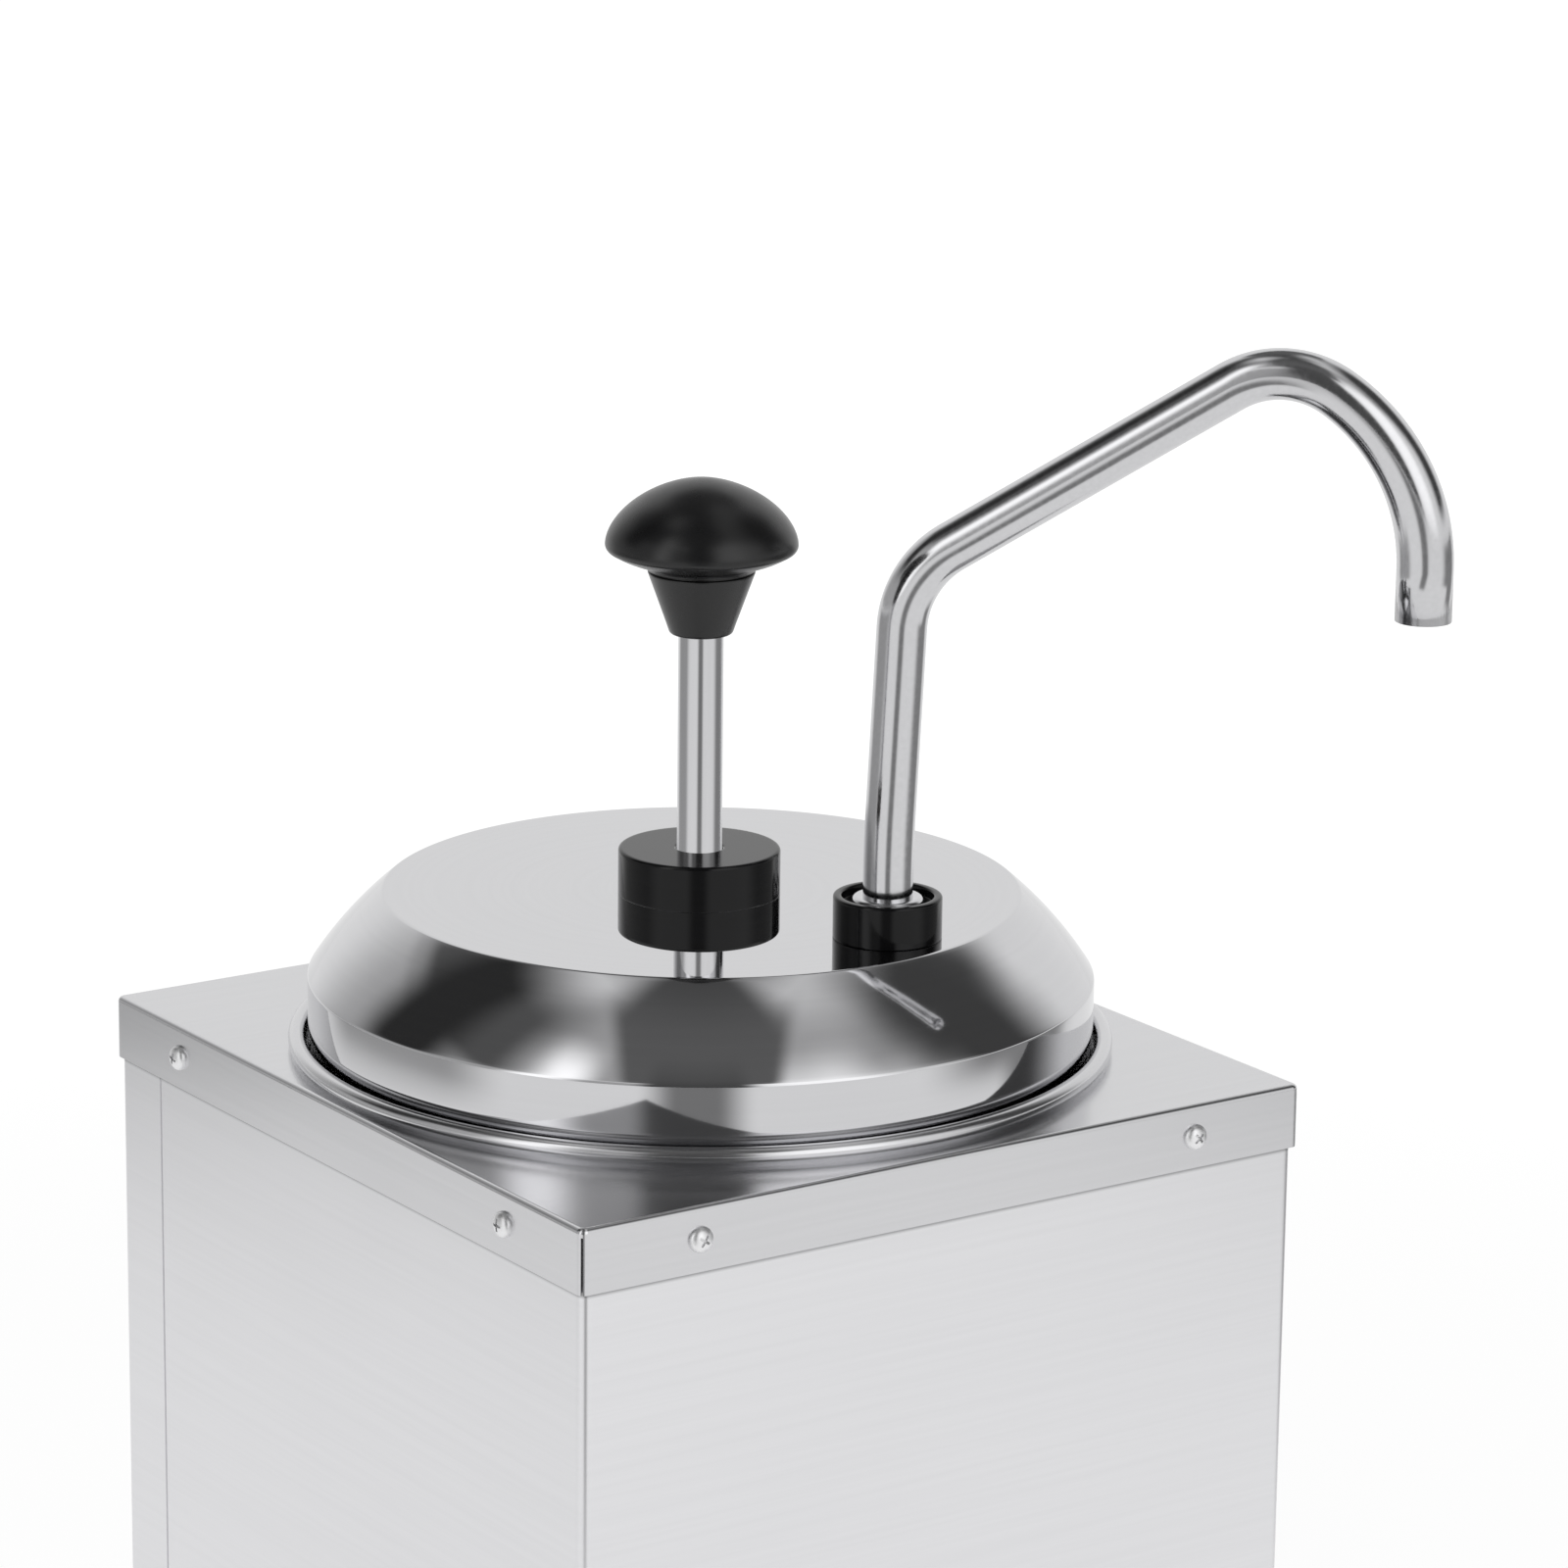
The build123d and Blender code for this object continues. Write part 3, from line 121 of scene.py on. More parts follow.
def arc_through(start, middle, end, steps):
    """Points of the arc through three points, the last one left out."""
    (ax, ay), (bx, by), (cx, cy) = start, middle, end
    d = 2 * (ax * (by - cy) + bx * (cy - ay) + cx * (ay - by))
    a2, b2, c2 = ax * ax + ay * ay, bx * bx + by * by, cx * cx + cy * cy
    ox = (a2 * (by - cy) + b2 * (cy - ay) + c2 * (ay - by)) / d
    oy = (a2 * (cx - bx) + b2 * (ax - cx) + c2 * (bx - ax)) / d
    radius = sqrt((ax - ox) ** 2 + (ay - oy) ** 2)
    turn = [atan2(y - oy, x - ox) for x, y in (start, middle, end)]
    sweep = (turn[2] - turn[0]) % (2 * pi)
    if (turn[1] - turn[0]) % (2 * pi) > sweep:
        sweep -= 2 * pi
    angles = [turn[0] + sweep * i / steps for i in range(steps)]
    return [(ox + radius * cos(t), oy + radius * sin(t)) for t in angles]


def soften(corners, steps=5, closed=False):
    """A profile whose corners (across, up, radius) are rounded; a corner may leave its radius out."""
    line = []
    count = len(corners)
    for i, corner in enumerate(corners):
        here, radius = Vector(corner[:2]), corner[2] if len(corner) > 2 else 0.0
        if not radius or (not closed and i in (0, count - 1)):
            line.append(tuple(here))
            continue
        back = (Vector(corners[i - 1][:2]) - here).normalized()
        ahead = (Vector(corners[(i + 1) % count][:2]) - here).normalized()
        half = acos(max(-1.0, min(1.0, back.dot(ahead)))) / 2
        centre = here + (back + ahead).normalized() * (radius / sin(half))
        first, last = here + back * (radius / tan(half)) - centre, here + ahead * (radius / tan(half)) - centre
        swing = pi - 2 * half
        side = 1 if first.x * last.y - first.y * last.x > 0 else -1
        for step in range(steps + 1):
            t = side * swing * step / steps
            spoke = Vector((first.x * cos(t) - first.y * sin(t), first.x * sin(t) + first.y * cos(t)))
            line.append(tuple(centre + spoke))
    return line


def held(line, closed=False, gap=0.35, least=7.0):
    """The line with a point added near both ends of each long run, so that flats stay flat when shaded smooth."""
    points = [Vector(p) for p in line]
    pairs = list(zip(points, points[1:] + points[:1]))
    result = []
    for i, (here, there) in enumerate(pairs):
        result.append(tuple(here))
        if (there - here).length > least and (closed or i < len(points) - 1):
            step = (there - here).normalized() * gap
            result += [tuple(here + step), tuple(there - step)]
    return result


def mesh_object(name, bm, crease=32.0):
    """A smooth object at the origin from a bmesh in millimetres."""
    bmesh.ops.remove_doubles(bm, verts=bm.verts, dist=1e-5)
    bmesh.ops.recalc_face_normals(bm, faces=bm.faces)
    bmesh.ops.scale(bm, vec=(MM, MM, MM), verts=bm.verts)
    mesh = bpy.data.meshes.new(name)
    bm.to_mesh(mesh)
    bm.free()
    mesh.shade_smooth()
    mesh.set_sharp_from_angle(angle=radians(crease))
    piece = bpy.data.objects.new(name, mesh)
    bpy.context.scene.collection.objects.link(piece)
    return piece


def turned(name, profile, axis, closed=False, sides=TURNED_SIDES, crease=32.0):
    """A shape turned about an upright axis; an open profile starts and ends on the axis."""
    bm = bmesh.new()
    rings = []
    for across, up in held(profile, closed):
        if across < 1e-6:
            rings.append([bm.verts.new((axis[0], axis[1], up))] * sides)
            continue
        spots = ((2 * pi * k / sides) for k in range(sides))
        rings.append([bm.verts.new((axis[0] + across * cos(t), axis[1] + across * sin(t), up)) for t in spots])
    pairs = list(zip(rings, rings[1:])) + ([(rings[-1], rings[0])] if closed else [])
    for lower, upper in pairs:
        for k in range(sides):
            n = (k + 1) % sides
            corners = list(dict.fromkeys((lower[k], lower[n], upper[n], upper[k])))
            if len(corners) > 2:
                bm.faces.new(corners)
    return mesh_object(name, bm, crease)


def finish_piece(piece, body, slot, finish, *nodes):
    """Gives a piece its finish and its body, and hides the nodes that it stands for; the slot is not used."""
    piece.data.materials.clear()
    piece.data.materials.append(finish)
    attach(piece, body)
    if nodes:
        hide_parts(*nodes)


def baked(carrier, tree, values, name):
    """Runs a node tree on a carrier object and returns the result as a plain mesh object."""
    modifier = carrier.modifiers.new("build", "NODES")
    modifier.node_group = tree
    sockets = {s.name: s.identifier for s in tree.interface.items_tree if s.in_out == "INPUT"}
    for key, value in values.items():
        modifier[sockets[key]] = value
    bpy.context.view_layer.update()
    graph = bpy.context.evaluated_depsgraph_get()
    mesh = bpy.data.meshes.new_from_object(carrier.evaluated_get(graph))
    mesh.name = name
    bpy.data.objects.remove(carrier)
    piece = bpy.data.objects.new(name, mesh)
    bpy.context.scene.collection.objects.link(piece)
    if not len(mesh.polygons):
        raise RuntimeError(name + " came out empty")
    return piece


def carrier_mesh(name, points, edges=(), **attributes):
    """A mesh of points or a line, with float or vector attributes, for a node tree to build on."""
    mesh = bpy.data.meshes.new(name)
    mesh.from_pydata([Vector(p) * MM for p in points], edges, [])
    for key, values in attributes.items():
        vector = hasattr(values[0], "__len__")
        layer = mesh.attributes.new(key, "FLOAT_VECTOR" if vector else "FLOAT", "POINT")
        for item, value in zip(layer.data, values):
            if vector:
                item.vector = value
            else:
                item.value = value
    carrier = bpy.data.objects.new(name, mesh)
    bpy.context.scene.collection.objects.link(carrier)
    return carrier


def node_tree(name, sockets):
    """An empty geometry tree with the named inputs given and one for the finish."""
    tree = bpy.data.node_groups.new(name, "GeometryNodeTree")
    tree.interface.new_socket("Geometry", in_out="INPUT", socket_type="NodeSocketGeometry")
    for label, (kind, value) in sockets.items():
        socket = tree.interface.new_socket(label, in_out="INPUT", socket_type="NodeSocket" + kind)
        socket.default_value = value
    tree.interface.new_socket("Finish", in_out="INPUT", socket_type="NodeSocketMaterial")
    tree.interface.new_socket("Geometry", in_out="OUTPUT", socket_type="NodeSocketGeometry")
    return tree, add_node(tree, "NodeGroupInput").outputs


def end_tree(tree, given, geometry):
    """Ends a geometry tree: whole geometry in place of instances, in the finish that was given."""
    whole = add_node(tree, "GeometryNodeRealizeInstances", {0: geometry})
    coat = add_node(tree, "GeometryNodeSetMaterial", {"Geometry": whole.outputs[0], "Material": given["Finish"]})
    add_node(tree, "NodeGroupOutput", {0: coat.outputs[0]})
    return tree


# ---------------------------------------------------------------- finishes


def plain(name, colour, metallic, roughness, **sockets):
    """A principled material, its tree, its shader and its object coordinates."""
    finish = bpy.data.materials.new(name)
    finish.use_nodes = True
    tree = finish.node_tree
    shader = tree.nodes["Principled BSDF"]
    shader.inputs["Base Color"].default_value = (*colour, 1)
    shader.inputs["Metallic"].default_value = metallic
    shader.inputs["Roughness"].default_value = roughness
    for key, value in sockets.items():
        shader.inputs[key.replace("_", " ")].default_value = value
    coords = add_node(tree, "ShaderNodeTexCoord").outputs["Object"]
    return finish, tree, shader, coords


def grain(tree, vector, period, detail=2.0, roughness=0.5, stretch=(1, 1, 1), centre=(0, 0, 0)):
    """Noise whose marks are about a period apart in millimetres and longer where stretch is under 1."""
    mapping = add_node(
        tree, "ShaderNodeMapping",
        {"Vector": vector, "Location": tuple(-c * MM for c in centre)}, vector_type="POINT",
    )
    scaled = add_node(tree, "ShaderNodeVectorMath", {0: mapping.outputs[0], 1: stretch}, operation="MULTIPLY")
    return add_node(
        tree, "ShaderNodeTexNoise",
        {"Vector": scaled.outputs[0], "Scale": 1 / (period * MM), "Detail": detail, "Roughness": roughness},
    ).outputs["Fac"]


def spread(tree, value, low, high, start=0.3, stop=0.7):
    """Maps noise between start and stop to a range."""
    return add_node(
        tree, "ShaderNodeMapRange",
        {"Value": value, "From Min": start, "From Max": stop, "To Min": low, "To Max": high},
    ).outputs[0]


def between(tree, value, first, second):
    """A colour that runs between two colours with a value."""
    return add_node(tree, "ShaderNodeMix", {"Factor": value, 6: first, 7: second}, data_type="RGBA").outputs[2]


def tint(tree, shader, value, first, second):
    """Base colour that runs between two colours with a value."""
    tree.links.new(between(tree, value, (*first, 1), (*second, 1)), shader.inputs["Base Color"])


def bump(tree, shader, height, depth, under=None):
    """Surface relief of a depth in millimetres, on top of another relief where one is given."""
    inputs = {"Height": height, "Distance": depth * MM}
    if under:
        inputs["Normal"] = under
    relief = add_node(tree, "ShaderNodeBump", inputs).outputs[0]
    tree.links.new(relief, shader.inputs["Normal"])
    return relief


def rough(tree, shader, value, low, high):
    """Roughness that follows noise from low to high."""
    tree.links.new(spread(tree, value, low, high), shader.inputs["Roughness"])


def darker(colour, share):
    """A colour with each channel at a share of its light."""
    return tuple(c * share for c in colour)


def along_sheet(tree, coords):
    """Coordinates that run along the rolling direction on every upright and level face."""
    apart = add_node(tree, "ShaderNodeSeparateXYZ", {0: coords})
    normal = add_node(tree, "ShaderNodeNewGeometry").outputs["Normal"]
    facing = add_node(tree, "ShaderNodeSeparateXYZ", {0: normal})
    sideways = add_node(tree, "ShaderNodeMath", {0: facing.outputs[0]}, operation="ABSOLUTE")
    # 0.7 is half way round the fold between a front and a side
    on_side = add_node(tree, "ShaderNodeMath", {0: sideways.outputs[0], 1: 0.7}, operation="GREATER_THAN")
    turned_round = add_node(
        tree, "ShaderNodeCombineXYZ", {0: apart.outputs[1], 1: apart.outputs[0], 2: apart.outputs[2]}
    )
    return add_node(
        tree, "ShaderNodeMix", {"Factor": on_side.outputs[0], 4: coords, 5: turned_round.outputs[0]},
        data_type="VECTOR",
    ).outputs[1]


def satin_sheet(name, colour, gloss, edge=None):
    """Stainless sheet with a fine linear grain: soft wide reflections, faint level streaks, and painted shade under an
    edge where one is given.
    """
    # 180 grit lines are about 0.1 mm apart, too fine to show, so they are drawn at 1.3 mm.
    finish, tree, shader, coords = plain(name, colour, 1.0, gloss)
    lines = grain(tree, along_sheet(tree, coords), 1.3, stretch=(0.015, 1, 1))
    cloud = grain(tree, coords, 90)
    streak_and_shade = between(tree, spread(tree, lines, 0, 1), (*darker(colour, 0.975), 1), (*colour, 1))
    if edge is not None:
        # painted shade under an edge: the sheet is painted darker from the edge down, and the shade fades out from 0.2
        # to 1.4 mm below it
        up = add_node(tree, "ShaderNodeSeparateXYZ", {0: coords}).outputs[2]
        off = add_node(tree, "ShaderNodeMath", {0: up, 1: edge}, operation="SUBTRACT").outputs[0]
        painted_shade = add_node(
            tree, "ShaderNodeMapRange", {"Value": off, "From Min": -1.4 * MM, "From Max": -0.2 * MM},
            interpolation_type="SMOOTHSTEP",
        ).outputs[0]
        streak_and_shade = between(tree, painted_shade, streak_and_shade, (*darker(colour, 0.4), 1))
    tree.links.new(streak_and_shade, shader.inputs["Base Color"])
    rough(tree, shader, cloud, gloss - 0.02, gloss + 0.02)
    bump(tree, shader, lines, 0.0003)
    return finish


def spun_sheet(name, colour, axis, low, high, wave):
    """Stainless sheet spun on a lathe, then buffed: sharp reflections crossed by fine rings."""
    # Spinning leaves rings about 0.3 mm apart; they are drawn at 1.6 mm so that they show.
    finish, tree, shader, coords = plain(name, colour, 1.0, low)
    centre = (axis[0] * MM, axis[1] * MM, 0)
    moved = add_node(tree, "ShaderNodeVectorMath", {0: coords, 1: centre}, operation="SUBTRACT")
    flat = add_node(tree, "ShaderNodeVectorMath", {0: moved.outputs[0], 1: (1, 1, 0)}, operation="MULTIPLY")
    radius = add_node(tree, "ShaderNodeVectorMath", {0: flat.outputs[0]}, operation="LENGTH")
    apart = add_node(tree, "ShaderNodeSeparateXYZ", {0: coords})
    rings = add_node(tree, "ShaderNodeCombineXYZ", {0: radius.outputs["Value"], 2: apart.outputs[2]})
    lines = grain(tree, rings.outputs[0], 1.6, 1.0)
    rough(tree, shader, lines, low, high)
    tint(tree, shader, spread(tree, lines, 0, 1), darker(colour, 0.98), colour)
    dents = grain(tree, coords, 34, 1.0, stretch=(1, 1, 1.6))
    bump(tree, shader, lines, 0.00005, under=bump(tree, shader, dents, wave))
    return finish


def drawn_tube(name, colour, low, high, stretch):
    """Stainless tube or bar: fine marks run one way, from drawing or from grinding."""
    # The marks are about 0.05 mm apart and are drawn at 1.2 mm.
    finish, tree, shader, coords = plain(name, colour, 1.0, low)
    lines = grain(tree, coords, 1.2, 1.0, stretch=stretch)
    rough(tree, shader, lines, low, high)
    tint(tree, shader, spread(tree, lines, 0, 1), darker(colour, 0.96), colour)
    return finish


def zinc_plate(colour):
    """Bright zinc plated steel: a pale blurred shine with a slightly cloudy, uneven skin."""
    finish, tree, shader, coords = plain("steel_zinc_plated", colour, 1.0, 0.4)
    cloud = grain(tree, coords, 1.2, 3.0)
    rough(tree, shader, cloud, 0.36, 0.46)
    tint(tree, shader, cloud, darker(colour, 0.95), colour)
    return finish


def turned_acetal(colour, axis):
    """Black acetal turned on a lathe: a low sheen with faint upright streaks and feed rings."""
    # The tool's feed leaves rings 0.15 mm apart, drawn at 1.2 mm.
    finish, tree, shader, coords = plain("acetal_black_turned", colour, 0.0, 0.3, Specular_IOR_Level=0.25)
    rings = grain(tree, coords, 1.2, 1.0, stretch=(0.05, 0.05, 1), centre=(*axis, 0))
    rough(tree, shader, rings, 0.10, 0.15)
    tint(tree, shader, rings, darker(colour, 0.8), darker(colour, 1.2))
    return finish


def moulded_phenolic(name, colour, low, high, speck):
    """Phenolic pressed in a polished mould: deep even colour, soft gloss, faint orange peel."""
    finish, tree, shader, coords = plain(name, colour, 0.0, low)
    peel = grain(tree, coords, 1.6)
    rough(tree, shader, grain(tree, coords, 9, 3.0), low, high)
    tint(tree, shader, grain(tree, coords, speck, 4.0), darker(colour, 0.8), darker(colour, 1.25))
    bump(tree, shader, peel, 0.006)
    return finish


def sparked_nylon(colour):
    """Nylon from a spark-eroded mould: an even matt grain that scatters the light."""
    # Spark texture is about 0.1 mm across and is drawn at 1.0 mm.
    finish, tree, shader, coords = plain("nylon_black_textured", colour, 0.0, 0.5)
    grit = grain(tree, coords, 1.0)
    rough(tree, shader, grit, 0.42, 0.6)
    tint(tree, shader, grit, darker(colour, 0.8), darker(colour, 1.3))
    bump(tree, shader, grit, 0.002)
    return finish


def moulded_rubber(name, colour, gloss):
    """Rubber from a plain steel mould: dull, slightly dusty, with soft edges to its shine."""
    finish, tree, shader, coords = plain(name, colour, 0.0, gloss, Specular_IOR_Level=0.35)
    dust = grain(tree, coords, 2.5, 4.0)
    rough(tree, shader, dust, gloss - 0.08, min(gloss + 0.1, 0.95))
    tint(tree, shader, dust, colour, tuple(min(1.0, c * 1.5 + 0.004) for c in colour))
    bump(tree, shader, dust, 0.01)
    return finish


def white_acetal(colour):
    """Natural acetal, turned: milky, a little light passes under the skin."""
    finish, tree, shader, coords = plain("acetal_natural_turned", colour, 0.0, 0.34, Subsurface_Weight=0.1)
    shader.inputs["Subsurface Radius"].default_value = (0.002, 0.002, 0.002)
    rings = grain(tree, coords, 0.5, stretch=(0.05, 0.05, 1))
    rough(tree, shader, rings, 0.3, 0.42)
    tint(tree, shader, rings, darker(colour, 0.93), colour)
    return finish


def mill_aluminium(colour):
    """Aluminium plate as rolled and sawn: pale, soft, with short streaks one way."""
    finish, tree, shader, coords = plain("aluminium_mill_finish", colour, 1.0, 0.4)
    lines = grain(tree, coords, 0.7, 3.0, stretch=(0.05, 1, 1))
    rough(tree, shader, lines, 0.34, 0.5)
    tint(tree, shader, lines, darker(colour, 0.88), colour)
    bump(tree, shader, lines, 0.002)
    return finish


def heated_sheath(colour, warm):
    """Heater tube after use: grey steel with straw and blue patches from the heat."""
    finish, tree, shader, coords = plain("steel_sheath_heat_tinted", colour, 1.0, 0.42)
    tint(tree, shader, spread(tree, grain(tree, coords, 18, 3.0), 0, 1), colour, warm)
    rough(tree, shader, grain(tree, coords, 1.5, 3.0), 0.34, 0.55)
    return finish


def glass_wool(colour):
    """Glass wool blanket: a pale yellow felt of loose fibres, painted darker as shade in the hollows between its
    tufts.
    """
    # Fibres are far too fine to show, so tufts of about 2 mm stand for them.
    finish, tree, shader, coords = plain("glass_wool_felted", colour, 0.0, 0.95, Specular_IOR_Level=0.1)
    tufts = grain(tree, coords, 2.0, 6.0, 0.7, stretch=(1, 1, 0.5))
    # painted shade: the colour is darker where the tufts' bump is low
    tint(tree, shader, spread(tree, tufts, 0, 1), darker(colour, 0.6), colour)
    bump(tree, shader, tufts, 0.9)
    return finish


def soft_metal(name, colour, low, high, fade):
    """Copper or brass, drawn or turned: warm metal that dulls in soft patches."""
    finish, tree, shader, coords = plain(name, colour, 1.0, low)
    patch = grain(tree, coords, 5, 4.0)
    rough(tree, shader, patch, low, high)
    tint(tree, shader, spread(tree, patch, 0, 1), darker(colour, fade), colour)
    return finish


def amber_lens(colour):
    """Clear amber polycarbonate: glossy outside, glowing where light gathers in its body."""
    finish, tree, shader, coords = plain(
        "polycarbonate_amber_moulded", colour, 0.0, 0.12, Transmission_Weight=0.6, IOR=1.585
    )
    tint(tree, shader, grain(tree, coords, 3, 1.0), darker(colour, 0.8), colour)
    return finish


def screen_ink(colour):
    """Screen printed ink: a thin matt film with a slightly uneven coat."""
    finish, tree, shader, coords = plain("ink_screen_printed", colour, 0.0, 0.55)
    tint(tree, shader, grain(tree, coords, 0.8, 3.0), darker(colour, 0.9), colour)
    return finish


FINISHES = {}


def make_finishes():
    """Makes every finish once, each under the slot or the piece that it dresses."""
    c = settings().colours
    # the wrap's sheet is painted with shade just under this line, which lies under the cap's flange
    below_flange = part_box("cap_screws")[0][2] - 4.5 * MM
    pot_axis = round_part("lid")[0]
    pump_axis = round_part("collar_cap")[0]
    FINISHES.update(
        satin_stainless=satin_sheet("stainless_sheet_fine_grained", c.sheet, 0.3),
        # the cap is the same stainless as the case, painted darker as shade
        cap=satin_sheet("stainless_sheet_folded_painted_shade", c.cap, 0.2),
        wrap=satin_sheet("stainless_sheet_wrapped", c.sheet, 0.3, below_flange),
        formed_stainless=spun_sheet("stainless_spun", c.polished, pot_axis, 0.13, 0.2, 0.02),
        lid=spun_sheet("stainless_spun_and_buffed", c.polished, pot_axis, 0.055, 0.065, 0.02),
        polished_stainless=drawn_tube("stainless_machined", c.polished, 0.1, 0.15, (0.1, 0.1, 1)),
        spout=drawn_tube("stainless_tube_buffed", c.polished, 0.12, 0.17, (1, 1, 1)),
        rod=drawn_tube("stainless_bar_ground", c.polished, 0.1, 0.15, (1, 1, 0.03)),
        plated_steel=zinc_plate(c.plated),
        black_plastic=moulded_phenolic("phenolic_black_moulded", c.knob, 0.25, 0.32, 0.7),
        collar=turned_acetal(c.collar, pump_axis),
        black_nylon=sparked_nylon(linear("#1d1d1e")),
        phenolic=moulded_phenolic("phenolic_brown_moulded", linear("#4a3226"), 0.35, 0.5, 0.5),
        black_rubber=moulded_rubber("rubber_black_moulded", linear("#1f1f1f"), 0.7),
        seal_rubber=moulded_rubber("silicone_red_moulded", linear("#a33a2c"), 0.5),
        wire_insulation=moulded_rubber("silicone_lead_extruded", linear("#d8d3c6"), 0.5),
        white_acetal=white_acetal(linear("#eceae2")),
        aluminium=mill_aluminium(linear("#dcdde0")),
        heater_sheath=heated_sheath(linear("#8d8985"), linear("#8a6f4d")),
        glass_wool=glass_wool(linear("#e0d6a4")),
        copper=soft_metal("copper_drawn", linear("#d98c62"), 0.25, 0.42, 0.65),
        brass=soft_metal("brass_turned", linear("#dcbf78"), 0.2, 0.34, 0.75),
        ground_steel=drawn_tube("steel_ground", linear("#c4c4c6"), 0.22, 0.32, (0.06, 1, 0.06)),
        amber_lens=amber_lens(linear("#f08a1c")),
        ink=screen_ink(c.ink),
    )


# ---------------------------------------------------------------- settings


def length(name, text, value):
    """A length, given in millimetres."""
    return FloatProperty(name=name, description=text, default=value * MM, unit="LENGTH", subtype="DISTANCE")


def angle(name, text, value):
    """An angle, given in degrees."""
    return FloatProperty(name=name, description=text, default=radians(value), subtype="ANGLE", unit="ROTATION")


def amount(name, text, value, low, high):
    """A plain number between two bounds."""
    return FloatProperty(name=name, description=text, default=value, min=low, max=high)


def count(name, text, value, low, high):
    """A whole number between two bounds."""
    return IntProperty(name=name, description=text, default=value, min=low, max=high)


def colour(name, text, code):
    """A colour, given as an sRGB hex value."""
    return FloatVectorProperty(
        name=name, description=text, default=linear(code), size=3, min=0, max=1, subtype="COLOR"
    )


class WARMER_PG_colours(bpy.types.PropertyGroup):
    """Colours of the sheet, the steel, the plastics and the print"""

    sheet: colour("Case Sheet", "Stainless sheet of the case", "#ebebed")
    # the same stainless as the case sheet, given a darker colour as painted shade
    cap: colour("Cap Sheet", "Stainless sheet of the folded cap", "#dadadc")
    polished: colour("Polished Steel", "Lid, pot, tube and rod", "#d6d6d8")
    plated: colour("Plated Steel", "Screws and nuts", "#f6f6f7")
    knob: colour("Knob", "Moulded knob", "#0c0c0d")
    collar: colour("Collar", "Turned collar and tube bushing", "#0b0b0c")
    ink: colour("Printed Marks", "Scale of the dial", "#2b2b2c")


class WARMER_PG_lid(bpy.types.PropertyGroup):
    """Sizes of the domed lid"""

    wall: length("Wall", "Thickness of the lid's sheet", 0.9)
    shoulder: length("Shoulder Run", "How far the shoulder leans in from the skirt", 17.5)
    skirt: length("Skirt Height", "Lower edge to the fold", 23.1)
    bulge: length("Shoulder Bulge", "How far the shoulder swells outwards", 1.0)
    fold: length("Fold Radius", "Radius of the fold between skirt and shoulder", 1.6)
    tuck: length("Tuck", "How far the skirt's lower edge is drawn in", 0.6)
    brow: length("Brow Radius", "Radius between the shoulder and the flat top", 1.1)


class WARMER_PG_pot(bpy.types.PropertyGroup):
    """Sizes of the lift-out pot"""

    wall: length("Wall", "Thickness of the pot", 0.7)
    bead: length("Bead Radius", "Radius of the rolled rim", 2.0)
    seat_drop: length("Seat Depth", "Rim to the step that the lid rests on", 10.3)
    step: length("Step", "How far the wall steps in under the rim", 8.0)
    corner: length("Floor Radius", "Radius between wall and floor", 12.0)


class WARMER_PG_case(bpy.types.PropertyGroup):
    """Sizes of the sheet round the case"""

    wall: length("Wall", "Thickness of the body's sheet", 0.8)
    bend: length("Bend Radius", "Outer radius of the two front folds", 2.4)
    flush: length("Flush Step", "How far the sheet stands out to lie flush with the rear panel's laps", 0.8)
    joggle: length("Joggle", "Gap between the rear panel's lap and the step in the sheet", 0.7)


class WARMER_PG_pump(bpy.types.PropertyGroup):
    """Sizes of the collar, the knob and the return spring"""

    bevel: length("Collar Bevel", "Broken edge at the collar's rims", 0.7)
    seam: length("Collar Seam", "Bevel at the seam between the collar's halves", 0.08)
    rod_gap: length("Rod Gap", "Gap round the rod in the collar's top", 0.3)
    waist: length("Knob Waist", "Radius low on the knob's stem", 7.75)
    neck: length("Knob Neck", "Radius at the top of the knob's stem", 12.3)
    flare: length("Knob Flare", "Height of the rounded foot of the stem", 2.6)
    stem: length("Knob Stem", "Height of the straight cone of the stem", 12.6)
    brim: length("Knob Brim", "Height of the knob's widest line over its foot", 20.1)
    lip: length("Knob Lip", "Radius of the rounded edge under the widest line", 1.8)
    groove: length("Knob Groove", "Depth of the groove round the stem", 0.7)
    dome: amount("Dome", "Fullness of the knob's dome, 2 is an ellipse", 1.75, 1.2, 3)
    wire: length("Spring Wire", "Radius of the return spring's wire", 0.8)
    coils: count("Spring Coils", "Turns of the return spring", 14, 4, 30)
    stroke: length("Stroke", "How far the plunger presses the return spring together", 45)


class WARMER_PG_spout(bpy.types.PropertyGroup):
    """Sizes of the discharge tube and its bushing"""

    wall: length("Wall", "Thickness of the tube", 0.8)
    radius: length("Radius", "Radius of the tube", 5.7)
    outlet: length("Outlet Radius", "Radius at the outlet, which the bend widens", 6.33)
    turn: angle("Direction", "Way the spout points, seen from above", -45)
    lean_start: length("Straight Foot", "Height above the lid at which the tube starts to lean", 12)
    lean: angle("Lean", "How far the upright part leans forward", 2.5)
    lean_radius: length("Lean Radius", "Radius of the long gentle bend above the lid", 400)
    stem: length("Stem", "Straight run from the lean to the first bend", 42.6)
    knee_radius: length("Knee Radius", "Radius of the first bend", 24)
    rise: angle("Rise", "Slope of the long straight part", 32.5)
    incline: length("Incline", "Length of the long straight part", 73.1)
    arch_radius: length("Arch Radius", "Radius of the tight bend at the top", 21.5)
    arch: angle("Arch", "Turn of the tight bend at the top", 67)
    drop_radius: length("Drop Radius", "Radius of the gentle bend down to the outlet", 46)
    drop: length("Outlet Run", "Straight run at the outlet", 12.2)
    flare_start: length("Flare Start", "Outlet's end to where the tube starts to widen", 75)
    flare_end: length("Flare End", "Outlet's end to where the tube is as wide as the outlet", 12)
    lip: length("Bushing Lip", "Width of the bushing's rim", 2.0)
    recess: length("Bushing Recess", "Depth inside the bushing's rim", 2.2)
    sides: count("Sides", "Faces round the tube", 48, 12, 96)


